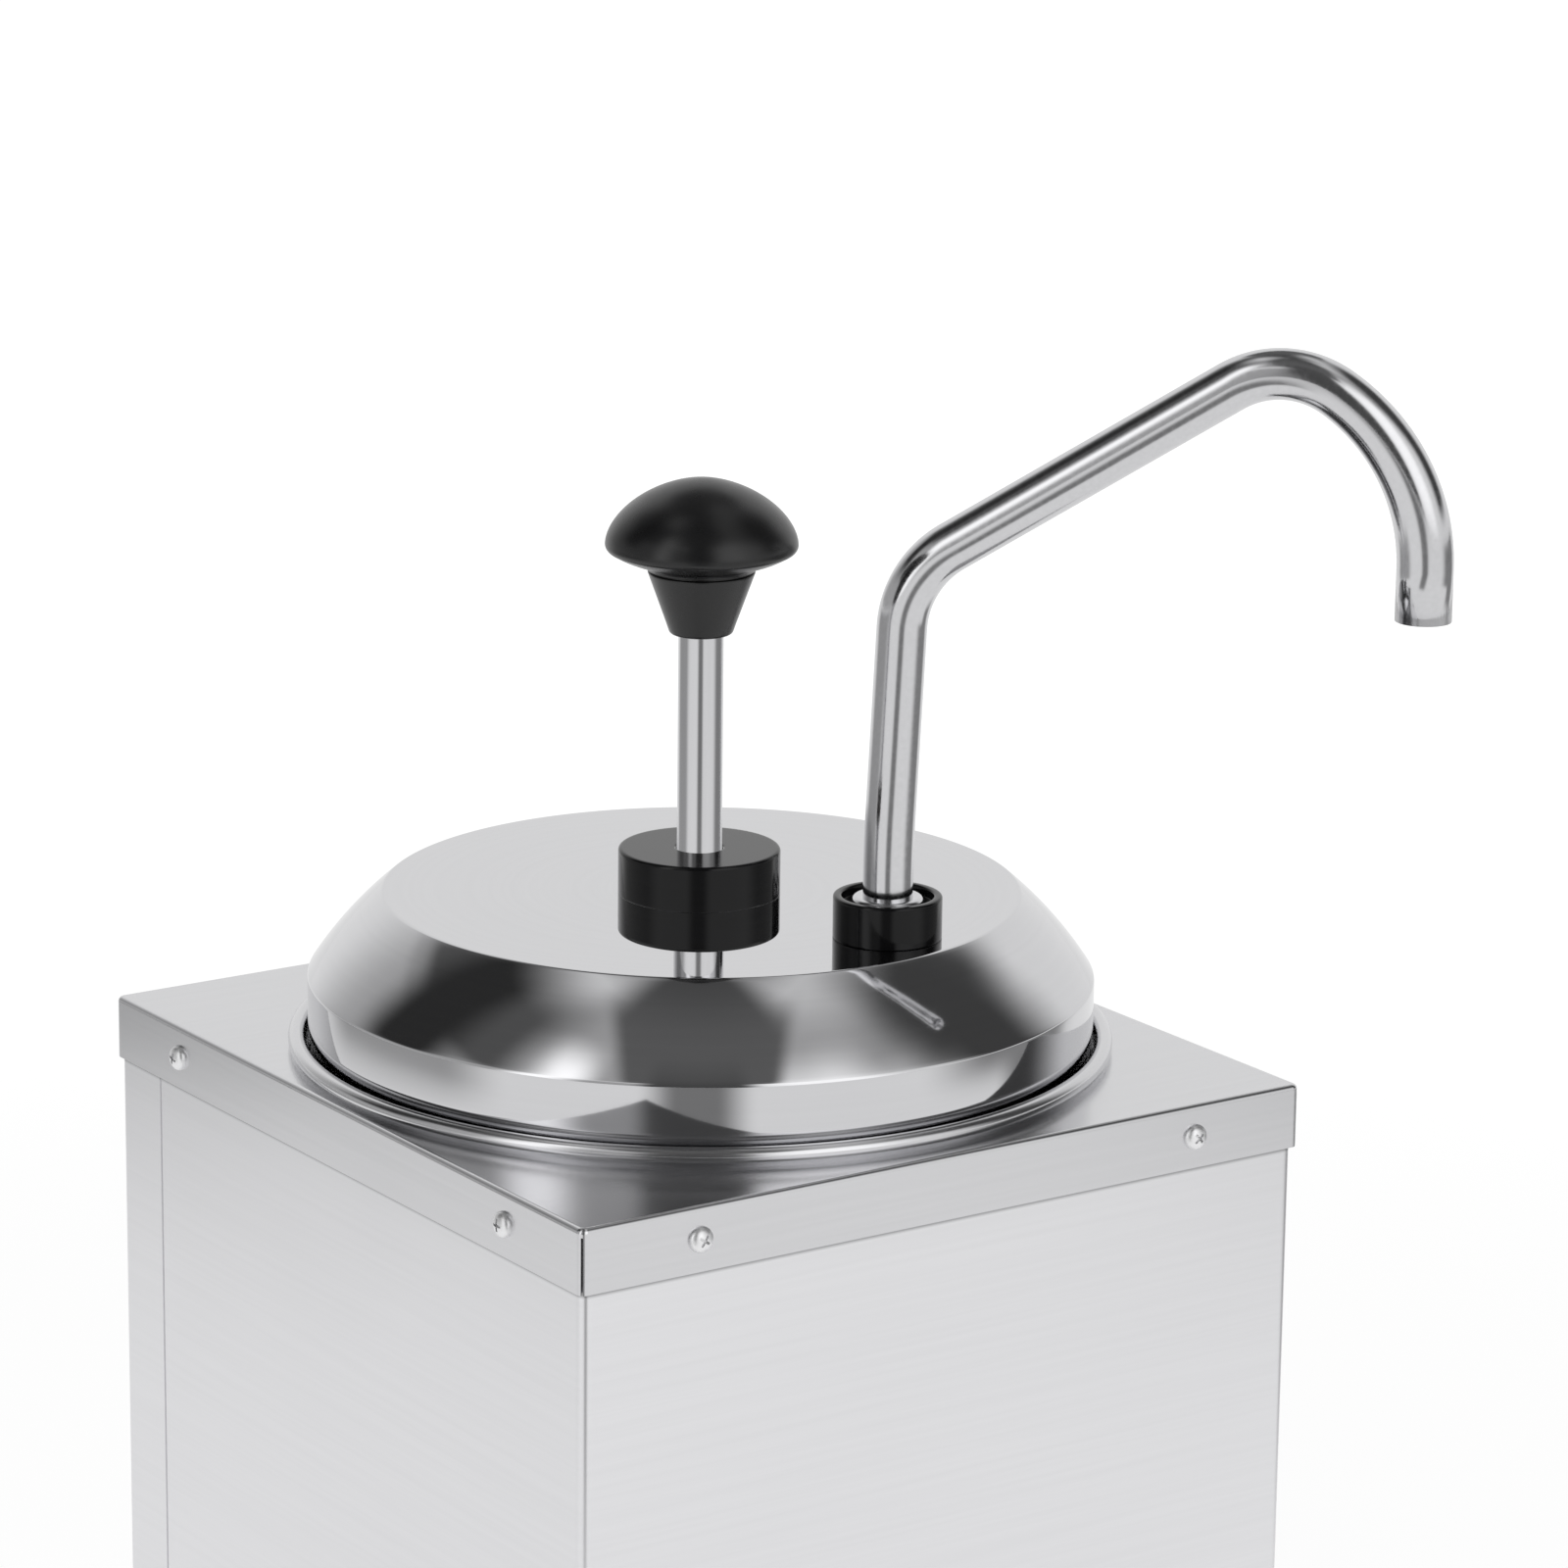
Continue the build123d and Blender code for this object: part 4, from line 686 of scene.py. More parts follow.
class WARMER_PG_screws(bpy.types.PropertyGroup):
    """Sizes of the case screws"""

    radius: length("Head Radius", "Radius of a screw head", 3.0)
    height: length("Head Height", "Height of a screw head", 2.0)
    shank: length("Shank Radius", "Radius of the thread", 1.7)
    reach: length("Length", "Length under the head", 7.0)
    side_place: length("Side Place", "Middle of a side to each of its two screws", 72.7)
    face_place: length("Face Place", "Middle of the front or rear to each of its two screws", 67.5)


class WARMER_PG_controls(bpy.types.PropertyGroup):
    """Sizes of the dial's printed marks and of its pointer"""

    scale_radius: length("Scale Radius", "Middle of the dial's printed marks", 25.0)
    mark_length: length("Mark Length", "Length of a printed mark", 3.0)
    mark_width: length("Mark Width", "Width of a printed mark", 0.7)
    mark_height: length("Mark Height", "Thickness of the printed ink", 0.2)
    marks: count("Marks", "Marks round the dial", 10, 2, 60)
    start: angle("Scale Start", "Place of the scale's first mark, from level", -45)
    sweep: angle("Scale Sweep", "Turn from the first mark to the last", 270)
    pointer_width: length("Pointer Width", "Width of the dial's pointer", 0.9)
    pointer_depth: length("Pointer Depth", "Thickness of the dial's pointer", 0.3)
    pointer_length: length("Pointer Length", "Length of the dial's pointer", 6.5)
    pointer_rise: length("Pointer Place", "Dial's centre to the pointer's middle", 11.0)


class WARMER_PG_stage(bpy.types.PropertyGroup):
    """The floor, the light and the camera"""

    floor: colour("Floor", "Pale floor", "#f4f4f4")
    ambient: amount("Ambient", "Even light from all round", 0.62, 0, 2)
    room_light: amount("Room Light", "Light that metal mirrors from the room", 0.87, 0, 2)
    floor_light: amount("Floor Light", "Light that metal mirrors from the floor", 0.9, 0, 2)
    lens: amount("Focal Length", "Lens of the camera in millimetres", 141.46, 10, 1000)


class WARMER_PG_settings(bpy.types.PropertyGroup):
    """Everything that a user can change"""

    colours: PointerProperty(type=WARMER_PG_colours)
    lid: PointerProperty(type=WARMER_PG_lid)
    pot: PointerProperty(type=WARMER_PG_pot)
    case: PointerProperty(type=WARMER_PG_case)
    pump: PointerProperty(type=WARMER_PG_pump)
    spout: PointerProperty(type=WARMER_PG_spout)
    screws: PointerProperty(type=WARMER_PG_screws)
    controls: PointerProperty(type=WARMER_PG_controls)
    stage: PointerProperty(type=WARMER_PG_stage)


# ---------------------------------------------------------------- lid and pot


class WARMER_OT_lid(bpy.types.Operator):
    """Spins the domed lid from one sheet"""

    bl_idname = "warmer.lid"
    bl_label = "Lid"

    def execute(self, context):
        s = settings().lid
        axis, radius, foot, top = round_part("lid")
        wall, run, bulge, tuck = mm(s.wall), mm(s.shoulder), mm(s.bulge), mm(s.tuck)
        fold_z = foot + mm(s.skirt)
        slant = Vector((-run, top - fold_z))
        out = Vector((slant.y, -slant.x)).normalized()

        def shoulder(inset):
            """Lower end, swollen middle and upper end of the shoulder, inside the outer face."""
            lean = inset * 0.45  # the slanting wall's thickness, measured level
            low, high = Vector((radius - inset, fold_z)), Vector((radius - run - lean, top - inset))
            return low, (low + high) / 2 + out * bulge, high

        low, middle, high = shoulder(0)
        curve = arc_through(low, middle, high, 20)[1:]
        fold = soften([(radius, foot), (*low, mm(s.fold)), curve[0]], 7)[1:-1]
        inner_low, inner_middle, inner_high = shoulder(wall)
        inner = arc_through(inner_high, inner_middle, inner_low, 10)
        flat = high.x - 6
        brow = soften([curve[-1], (*high, mm(s.brow)), (flat, top)], 6)[1:-1]
        # the skirt is straight down to the edge's two gentle bends, and its edge is just broken
        straight, bend_high, bend_low, bend, broken = fold_z - 6, foot + 12, foot + 8, 4, 0.3
        inside = radius - wall
        edge = soften([
            (radius, straight), (radius, bend_high, bend),
            (radius - tuck, bend_low, bend), (radius - tuck, foot, broken),
            (inside - tuck, foot, broken), (inside - tuck, bend_low, bend),
            (inside, bend_high, bend), (inside, straight),
        ], 3)
        line = [(0, top), (high.x / 2, top), *reversed(brow), *reversed(curve), *reversed(fold)]
        line += [*edge, *reversed(inner), (inner_high.x / 2, top - wall), (0, top - wall)]
        piece = turned("lid_shell", line, axis, sides=LID_SIDES)
        finish_piece(piece, "lid_body", "polished_stainless", FINISHES["lid"], "lid")
        return {"FINISHED"}


class WARMER_OT_pot(bpy.types.Operator):
    """Spins the lift-out pot with its rolled rim"""

    bl_idname = "warmer.pot"
    bl_label = "Pot"

    def execute(self, context):
        s = settings().pot
        axis, radius, foot, top = round_part("pot")
        wall, bead, step, corner = mm(s.wall), mm(s.bead), mm(s.step), mm(s.corner)
        middle, bead_z = radius - bead, top - bead
        inside = middle - bead
        outside = inside + wall
        seat = top - mm(s.seat_drop)
        wide_bend, tight_bend = wall * 2, wall * 1.4
        # the rim is rolled from its inner side over the top and back against the outer wall
        join = acos((middle - outside) / bead)
        rim = [pi - (pi + join) * k / 28 for k in range(29)]
        curl = [(middle + bead * cos(t), bead_z + bead * sin(t)) for t in rim]
        inner = soften([
            (0, foot + wall), (inside - step, foot + wall, corner - wall), (inside - step, seat, wide_bend),
            (inside, seat, tight_bend), (inside, bead_z),
        ], 8)[:-1]
        outer = soften([
            curl[-1], (outside, seat - wall, wide_bend), (outside - step, seat - wall, tight_bend),
            (outside - step, foot, corner), (0, foot),
        ], 8)[1:]
        piece = turned("pot_shell", inner + curl + outer, axis, sides=POT_SIDES)
        finish_piece(piece, "pot_body", "formed_stainless", FINISHES["formed_stainless"], "pot")
        return {"FINISHED"}


# ---------------------------------------------------------------- case


class WARMER_OT_wrap(bpy.types.Operator):
    """Folds the sheet round the front and sides, stepped in where the rear panel laps over it"""

    bl_idname = "warmer.wrap"
    bl_label = "Body Wrap"

    def execute(self, context):
        s = settings().case
        (left, front, low), (_, back, high) = ([v / MM for v in corner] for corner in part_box("body_wrap"))
        flush = mm(s.flush)
        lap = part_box("rear_panel")[0][1] / MM
        under, left, front = left, left - flush, front - flush
        joggle_bend = 0.5
        half = [
            (under, back), (under, lap + 0.1, joggle_bend), (left, lap - mm(s.joggle), joggle_bend),
            (left, front, mm(s.bend)),
        ]
        line = held(soften(half + [(-x, *rest) for x, *rest in reversed(half)], 6))
        bm = bmesh.new()
        levels = [z for _, z in held([(0, low), (0, high)])]
        rows = [[bm.verts.new((x, y, z)) for x, y in line] for z in levels]
        for foot, head in zip(rows, rows[1:]):
            for i in range(len(line) - 1):
                bm.faces.new((foot[i], foot[i + 1], head[i + 1], head[i]))
        piece = mesh_object("wrap_sheet", bm, crease=50)
        sheet = piece.modifiers.new("wall", "SOLIDIFY")
        sheet.thickness, sheet.offset = s.wall, -1.0
        finish_piece(piece, "housing", "satin_stainless", FINISHES["wrap"], "body_wrap")
        return {"FINISHED"}


# ---------------------------------------------------------------- pump


class WARMER_OT_collar(bpy.types.Operator):
    """Turns the two halves of the black collar and the tube that carries it"""

    bl_idname = "warmer.collar"
    bl_label = "Collar"

    def execute(self, context):
        s = settings().pump
        bevel, seam, broken, bore_edge = mm(s.bevel), mm(s.seam), 0.3, 0.35
        axis, radius, low, middle = round_part("collar_ring")
        _, neck, neck_low, neck_top = round_part("neck_tube")
        _, bush, _, bush_top = round_part("guide_bush")
        top = round_part("collar_cap")[3]
        rod = round_part("plunger_rod")[1]
        bore = rod + mm(s.rod_gap)
        halves = {
            "collar_ring": ("collar_lower", [
                (neck, low, broken), (radius, low, bevel), (radius, middle, seam), (neck, middle),
            ]),
            "collar_cap": ("collar_upper", [
                (bush, middle), (radius, middle, seam), (radius, top, bevel), (bore, top, bore_edge),
                (bore, bush_top), (bush, bush_top),
            ]),
        }
        for node, (name, corners) in halves.items():
            piece = turned(name, soften(corners, 4, closed=True), axis, closed=True)
            piece.visible_glossy = False  # keeps a black disc out of the polished shoulder below it
            finish_piece(piece, "lid_body", "black_plastic", FINISHES["collar"], node)
        inner, edge = rod + 0.08, 0.1
        sleeve = [(inner, neck_low), (neck, neck_low, edge), (neck, neck_top, edge), (inner, neck_top)]
        piece = turned("pump_neck", soften(sleeve, 2, closed=True), axis, closed=True, sides=ROD_SIDES)
        finish_piece(piece, "lid_body", "polished_stainless", FINISHES["rod"], "neck_tube")
        return {"FINISHED"}


class WARMER_OT_plunger(bpy.types.Operator):
    """Turns the pump rod and moulds the knob on its top"""

    bl_idname = "warmer.plunger"
    bl_label = "Plunger"

    def execute(self, context):
        s = settings().pump
        axis, radius, low, top = round_part("plunger_rod")
        stud, stud_top, broken = 3.0, low + 17, 0.4
        shaft = soften([
            (0, low), (stud, low, broken), (stud, stud_top), (radius, stud_top, broken), (radius, top, 0.6), (0, top),
        ], 3)
        piece = turned("pump_rod", shaft, axis, sides=ROD_SIDES)
        finish_piece(piece, "plunger", "polished_stainless", FINISHES["rod"], "plunger_rod")

        axis, wide, foot, top = round_part("knob")
        waist, neck, lip = mm(s.waist), mm(s.neck), mm(s.lip)
        low, high, brim = foot + mm(s.flare), foot + mm(s.flare) + mm(s.stem), foot + mm(s.brim)
        line = [(0, foot), (radius + 0.2, foot)]
        line += soften([
            (radius + 0.3, foot), (waist - 0.85, foot + 0.1, 1.1), (waist, low, 2.5), (neck, high),
        ], 5)[:-1]

        # a fine groove runs round the cone just under its top; its corners are placed by their height
        # over or under its middle, and the sloping wall gives how far out they stand
        slope, groove_z = (neck - waist) / (high - low), high - 0.9
        cone = neck - slope * 0.9
        floor = cone - mm(s.groove)
        line += soften([
            (cone - slope * 0.8, groove_z - 0.8), (cone - slope * 0.3, groove_z - 0.3, 0.12),
            (floor, groove_z - 0.15, 0.1), (floor, groove_z + 0.15, 0.1),
            (cone + slope * 0.3, groove_z + 0.3, 0.12), (cone + slope * 0.6, groove_z + 0.6),
        ], 2)

        # the brim's rounded edge, the hollow under it, and the dome over it, slimmer than an ellipse
        turns = [radians(-66 + 6 * k) for k in range(11)]
        edge = [(wide - lip + lip * cos(t), brim + lip * sin(t)) for t in turns]
        start, end = (neck + 0.9, high + 0.5), edge[0]
        sag = ((start[0] + end[0]) / 2, (start[1] + end[1]) / 2 - 0.3)
        under = arc_through(start, sag, end, 10)[:-1]
        power, steps = 2 / s.dome, 40
        turns = [pi / 2 * k / steps for k in range(steps)]
        dome = [(wide * cos(t) ** power, brim + (top - brim) * sin(t) ** power) for t in turns]
        piece = turned("knob_shell", line + under + edge + dome + [(0, top)], axis, crease=50)
        finish_piece(piece, "plunger", "black_plastic", FINISHES["black_plastic"], "knob")
        return {"FINISHED"}


def coil_tree():
    """Round wire wound into an open coil round each point, which is the middle of its foot."""
    tree, given = node_tree("wound_coil", {
        "Radius": ("Float", 0.01), "Height": ("Float", 0.07), "Turns": ("Float", 14.0), "Wire": ("Float", 0.0008),
    })
    line = add_node(tree, "GeometryNodeCurveSpiral", {
        "Resolution": 40, "Rotations": given["Turns"], "Start Radius": given["Radius"],
        "End Radius": given["Radius"], "Height": given["Height"],
    })
    ring = add_node(tree, "GeometryNodeCurvePrimitiveCircle", {"Resolution": 14, "Radius": given["Wire"]})
    swept = add_node(
        tree, "GeometryNodeCurveToMesh",
        {"Curve": line.outputs[0], "Profile Curve": ring.outputs[0], "Fill Caps": True},
    )
    placed = add_node(
        tree, "GeometryNodeInstanceOnPoints", {"Points": given["Geometry"], "Instance": swept.outputs[0]},
    )
    return end_tree(tree, given, placed.outputs[0])


class WARMER_OT_spring(bpy.types.Operator):
    """Winds the pump's return spring, which the plunger presses together on the pump's foot"""

    bl_idname = "warmer.spring"
    bl_label = "Return Spring"

    def execute(self, context):
        s = settings().pump
        axis, radius, low, high = round_part("return_spring")
        wire, tall = mm(s.wire), high - low
        carrier = carrier_mesh("spring_foot", [(*axis, low + wire)])
        piece = baked(carrier, coil_tree(), {
            "Radius": (radius - wire) * MM, "Height": (tall - 2 * wire) * MM, "Turns": float(s.coils), "Wire": s.wire,
            "Finish": FINISHES["spout"],
        }, "spring_coil")
        piece.data.shade_smooth()
        finish_piece(piece, "lid_body", "polished_stainless", FINISHES["spout"], "return_spring")
        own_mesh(piece)
        return {"FINISHED"}


# ---------------------------------------------------------------- spout


def bent_tube_tree():
    """Tube along a line of corners, each rounded by its own radius; the end widens to the outlet."""
    tree, given = node_tree("bent_tube", {
        "Radius": ("Float", 0.006), "Sides": ("Int", 48), "Steps": ("Int", 24), "Flare": ("Float", 1.1),
        "Flare From": ("Float", 0.3), "Flare To": ("Float", 0.4),
    })
    line = add_node(tree, "GeometryNodeMeshToCurve", {"Mesh": given["Geometry"]})
    bend = add_node(tree, "GeometryNodeInputNamedAttribute", {"Name": "bend"}, data_type="FLOAT")
    rounded = add_node(
        tree, "GeometryNodeFilletCurve",
        {"Curve": line.outputs[0], "Radius": bend.outputs[0], "Count": given["Steps"]}, mode="POLY",
    )
    along = add_node(tree, "GeometryNodeSplineParameter").outputs["Length"]
    wider = add_node(tree, "ShaderNodeMapRange", {
        "Value": along, "From Min": given["Flare From"], "From Max": given["Flare To"],
        "To Min": 1.0, "To Max": given["Flare"],
    }, interpolation_type="SMOOTHSTEP")
    ring = add_node(
        tree, "GeometryNodeCurvePrimitiveCircle", {"Resolution": given["Sides"], "Radius": given["Radius"]},
    )
    swept = add_node(
        tree, "GeometryNodeCurveToMesh",
        {"Curve": rounded.outputs[0], "Profile Curve": ring.outputs[0], "Scale": wider.outputs[0]},
    )
    return end_tree(tree, given, swept.outputs[0])


def bender_corners(start, heading, bends, last_run):
    """Corners of a tube bent in one plane: each bend is the straight run before it, its radius and its turn."""
    spot, corners, length = Vector(start), [(start, 0.0)], 0.0
    for run, radius, turn in bends:
        reach = radius * tan(turn / 2)
        way = Vector((cos(heading), sin(heading)))
        spot = spot + way * (run + reach)
        corners.append((tuple(spot), radius))
        heading -= turn
        spot = spot + Vector((cos(heading), sin(heading))) * reach
        length += run + radius * turn
    corners.append((tuple(spot + Vector((cos(heading), sin(heading))) * last_run), 0.0))
    return corners, length + last_run


class WARMER_OT_spout(bpy.types.Operator):
    """Bends the discharge tube and turns the bushing at its foot"""

    bl_idname = "warmer.spout"
    bl_label = "Spout"

    def execute(self, context):
        s = settings().spout
        axis, head, low, high = round_part("tube_bushing")
        lid_top = round_part("lid")[3]
        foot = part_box("discharge_tube")[0][2] / MM - lid_top
        ease = 0.4  # a short straight between the last two bends, taken off the runs beside them
        bends = (
            (mm(s.lean_start) - foot, mm(s.lean_radius), s.lean),
            (mm(s.stem), mm(s.knee_radius), pi / 2 - s.lean - s.rise),
            (mm(s.incline) - ease, mm(s.arch_radius), s.arch),
            (ease, mm(s.drop_radius), s.rise + pi / 2 - s.arch),
        )
        corners, whole = bender_corners((0.0, foot), pi / 2, bends, mm(s.drop) - ease)
        across = Vector((cos(s.turn), sin(s.turn), 0))
        points = [Vector((*axis, lid_top + up)) + across * reach for (reach, up), _ in corners]
        edges = [(i, i + 1) for i in range(len(points) - 1)]
        carrier = carrier_mesh("spout_line", points, edges, bend=[radius * MM for _, radius in corners])
        piece = baked(carrier, bent_tube_tree(), {
            "Radius": s.radius, "Sides": s.sides, "Steps": 26, "Finish": FINISHES["spout"],
            "Flare": s.outlet / s.radius, "Flare From": whole * MM - s.flare_start,
            "Flare To": whole * MM - s.flare_end,
        }, "spout_tube")
        piece.data.shade_smooth()
        wall = piece.modifiers.new("wall", "SOLIDIFY")
        wall.thickness, wall.offset, wall.use_even_offset = s.wall, -1.0, True
        finish_piece(piece, "lid_body", "polished_stainless", FINISHES["spout"], "discharge_tube")

        bore, shank, mouth, recess_z = mm(s.radius), 8.8, head - mm(s.lip), high - mm(s.recess)
        body = soften([
            (bore, low, 0.3), (shank, low, 0.5), (shank, lid_top), (head, lid_top, 0.3), (head, high, 0.6),
            (mouth, high, 0.5), (mouth, recess_z, 0.2), (bore, recess_z),
        ], 4, closed=True)
        piece = turned("tube_bushing_body", body, axis, closed=True, sides=BUSHING_SIDES)
        finish_piece(piece, "lid_body", "black_plastic", FINISHES["collar"], "tube_bushing")
        return {"FINISHED"}


# ---------------------------------------------------------------- screws


def pan_screw_tree():
    """Pan head screws on points, each facing its own way, with a cross recess."""
    tree, given = node_tree("pan_screws", {
        "Head Radius": ("Float", 0.003), "Head Height": ("Float", 0.002), "Shank Radius": ("Float", 0.0017),
        "Length": ("Float", 0.007),
    })
    radius, height, reach = given["Head Radius"], given["Head Height"], given["Length"]
    ball = add_node(tree, "GeometryNodeMeshUVSphere", {"Segments": 32, "Rings": 18, "Radius": 1.0})
    size = add_node(tree, "ShaderNodeCombineXYZ", {0: radius, 1: radius, 2: height})
    place = add_node(tree, "GeometryNodeInputPosition")
    apart = add_node(tree, "ShaderNodeSeparateXYZ", {0: place.outputs[0]})
    # a power under 1 makes the dome fuller than a ball, and everything under the head is pressed flat
    full = add_node(tree, "ShaderNodeMath", {0: apart.outputs[2], 1: 0.0}, operation="MAXIMUM")
    bowed = add_node(tree, "ShaderNodeMath", {0: full.outputs[0], 1: 0.8}, operation="POWER")
    low_disc = add_node(tree, "ShaderNodeCombineXYZ", {0: apart.outputs[0], 1: apart.outputs[1], 2: bowed.outputs[0]})
    scaled = add_node(tree, "ShaderNodeVectorMath", {0: low_disc.outputs[0], 1: size.outputs[0]}, operation="MULTIPLY")
    dome = add_node(tree, "GeometryNodeSetPosition", {"Geometry": ball.outputs[0], "Position": scaled.outputs[0]})
    # the recess is a cross of two bars, nearly as long as the head's radius and half as deep as the head
    long_side = add_node(tree, "ShaderNodeMath", {0: radius, 1: 0.95}, operation="MULTIPLY")
    short_side = add_node(tree, "ShaderNodeMath", {0: radius, 1: 0.2}, operation="MULTIPLY")
    lift = add_node(tree, "ShaderNodeCombineXYZ", {2: height})
    cutters = []
    for first, second in ((long_side, short_side), (short_side, long_side)):
        dims = add_node(tree, "ShaderNodeCombineXYZ", {0: first.outputs[0], 1: second.outputs[0], 2: height})
        bar = add_node(tree, "GeometryNodeMeshCube", {"Size": dims.outputs[0]})
        cutters.append(add_node(
            tree, "GeometryNodeTransform", {"Geometry": bar.outputs[0], "Translation": lift.outputs[0]},
        ))
    cut = add_node(tree, "GeometryNodeMeshBoolean", operation="DIFFERENCE", solver="EXACT")
    tree.links.new(dome.outputs[0], cut.inputs[0])
    for bar in cutters:
        tree.links.new(bar.outputs[0], cut.inputs[1])
    shank = add_node(
        tree, "GeometryNodeMeshCylinder",
        {"Vertices": 20, "Radius": given["Shank Radius"], "Depth": reach},
    )
    half = add_node(tree, "ShaderNodeMath", {0: reach, 1: -0.5}, operation="MULTIPLY")
    down = add_node(tree, "ShaderNodeCombineXYZ", {2: half.outputs[0]})
    under = add_node(tree, "GeometryNodeTransform", {"Geometry": shank.outputs[0], "Translation": down.outputs[0]})
    screw = add_node(tree, "GeometryNodeJoinGeometry")
    tree.links.new(cut.outputs[0], screw.inputs[0])
    tree.links.new(under.outputs[0], screw.inputs[0])
    facing = add_node(tree, "GeometryNodeInputNamedAttribute", {"Name": "facing"}, data_type="FLOAT_VECTOR")
    turn = add_node(tree, "FunctionNodeAlignRotationToVector", {"Vector": facing.outputs[0]}, axis="Z")
    twist = add_node(tree, "GeometryNodeInputNamedAttribute", {"Name": "twist"}, data_type="FLOAT")
    spin = add_node(tree, "ShaderNodeCombineXYZ", {2: twist.outputs[0]})
    spin_turn = add_node(tree, "FunctionNodeEulerToRotation", {0: spin.outputs[0]})
    whole_turn = add_node(
        tree, "FunctionNodeRotateRotation", {"Rotation": turn.outputs[0], "Rotate By": spin_turn.outputs[0]},
        rotation_space="LOCAL",
    )
    on_points = add_node(
        tree, "GeometryNodeInstanceOnPoints",
        {"Points": given["Geometry"], "Instance": screw.outputs[0], "Rotation": whole_turn.outputs[0]},
    )
    return end_tree(tree, given, on_points.outputs[0])


class WARMER_OT_screws(bpy.types.Operator):
    """Sets the pan head screws round the cap and the foot of the case"""

    bl_idname = "warmer.screws"
    bl_label = "Case Screws"

    def execute(self, context):
        s = settings().screws
        head, side, face = mm(s.height), mm(s.side_place), mm(s.face_place)
        flush = mm(settings().case.flush)
        spots, ways = [], []
        for node, out in (("cap_screws", 0.0), ("base_screws", flush)):
            low, high = (Vector(corner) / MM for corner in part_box(node))
            left, front, right, rear = low.x + head - out, low.y + head - out, high.x - head + out, high.y - head
            middle = (low.z + high.z) / 2
            for y in (-side, side):
                spots += [(left, y, middle), (right, y, middle)]
                ways += [(-1, 0, 0), (1, 0, 0)]
            for x in (-face, face):
                spots += [(x, front, middle), (x, rear, middle)]
                ways += [(0, -1, 0), (0, 1, 0)]
        # each cross stands as its screw was tightened: 37 degrees on from the last, within a quarter turn
        twists = [radians((i * 37) % 90) for i in range(len(spots))]
        carrier = carrier_mesh("screw_spots", spots, facing=[Vector(w) for w in ways], twist=twists)
        piece = baked(carrier, pan_screw_tree(), {
            "Head Radius": s.radius, "Head Height": s.height, "Shank Radius": s.shank, "Length": s.reach,
            "Finish": FINISHES["plated_steel"],
        }, "case_screws")
        piece.data.shade_smooth()
        piece.data.set_sharp_from_angle(angle=radians(40))
        finish_piece(piece, "housing", "plated_steel", FINISHES["plated_steel"], "cap_screws", "base_screws")
        return {"FINISHED"}


# ---------------------------------------------------------------- printed marks


def dial_scale_tree():
    """Flat marks on an arc, each along its own radius."""
    tree, given = node_tree("dial_scale", {
        "Radius": ("Float", 0.025), "Count": ("Int", 10), "Start": ("Float", 0.0), "Sweep": ("Float", 4.7),
        "Mark": ("Vector", (0.003, 0.0007, 0.0001)),
    })
    arc = add_node(tree, "GeometryNodeCurveArc", {
        "Resolution": given["Count"], "Radius": given["Radius"], "Start Angle": given["Start"],
        "Sweep Angle": given["Sweep"],
    }, mode="RADIUS")
    place = add_node(tree, "GeometryNodeInputPosition")
    turn = add_node(tree, "FunctionNodeAlignRotationToVector", {"Vector": place.outputs[0]}, axis="X")
    mark = add_node(tree, "GeometryNodeMeshCube", {"Size": given["Mark"]})
    marks = add_node(
        tree, "GeometryNodeInstanceOnPoints",
        {"Points": arc.outputs[0], "Instance": mark.outputs[0], "Rotation": turn.outputs[0]},
    )
    return end_tree(tree, given, marks.outputs[0])


class WARMER_OT_marks(bpy.types.Operator):
    """Prints the scale round the dial and lays in the dial's pointer"""

    bl_idname = "warmer.marks"
    bl_label = "Printed Marks"

    def execute(self, context):
        s = settings().controls
        low, high = (Vector(c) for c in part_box("control_dial"))
        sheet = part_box("body_wrap")[0][1] - settings().case.flush
        centre = Vector(((low.x + high.x) / 2, sheet, (low.z + high.z) / 2))
        scale = baked(carrier_mesh("scale_spot", [(0, 0, 0)]), dial_scale_tree(), {
            "Radius": s.scale_radius, "Count": s.marks, "Start": s.start, "Sweep": s.sweep,
            "Mark": (s.mark_length, s.mark_width, s.mark_height), "Finish": FINISHES["ink"],
        }, "dial_scale")
        scale.data.transform(Matrix.Translation(centre) @ Matrix.Rotation(pi / 2, 4, "X"))
        finish_piece(scale, "housing", "black_plastic", FINISHES["ink"])

        bm = bmesh.new()
        bmesh.ops.create_cube(bm, size=1.0)
        size = (mm(s.pointer_width), mm(s.pointer_depth), mm(s.pointer_length))
        place = (centre.x / MM, low.y / MM, centre.z / MM + mm(s.pointer_rise))
        bmesh.ops.scale(bm, vec=size, verts=bm.verts)
        bmesh.ops.translate(bm, vec=place, verts=bm.verts)
        finish_piece(mesh_object("dial_pointer", bm), "dial", "white_acetal", FINISHES["white_acetal"])
        return {"FINISHED"}


# ---------------------------------------------------------------- carried-over pieces


class WARMER_OT_carried(bpy.types.Operator):
    """Gives every piece that keeps its own shape the finish of its material"""

    bl_idname = "warmer.carried"
    bl_label = "Other Finishes"

    def execute(self, context):
        own = {"top_cap": "cap", "rear_panel": "wrap"}
        for row in frame["record"]["subparts"]:
            node = row["node"]
            for place in frame["nodes"][node].material_slots:
                place.link = "OBJECT"
                place.material = FINISHES[own.get(node, row["material_slot"])]
        return {"FINISHED"}


# ---------------------------------------------------------------- stage

CAMERA_TURN = radians(-34.4226)
CAMERA_RISE = radians(14.5443)
CAMERA_ROLL = radians(0.6517)
CAMERA_SPOT = Vector((-0.7671, -1.1548, 0.6617))
FILM_WIDTH = 36.0
FAR_CLIP = 50.0

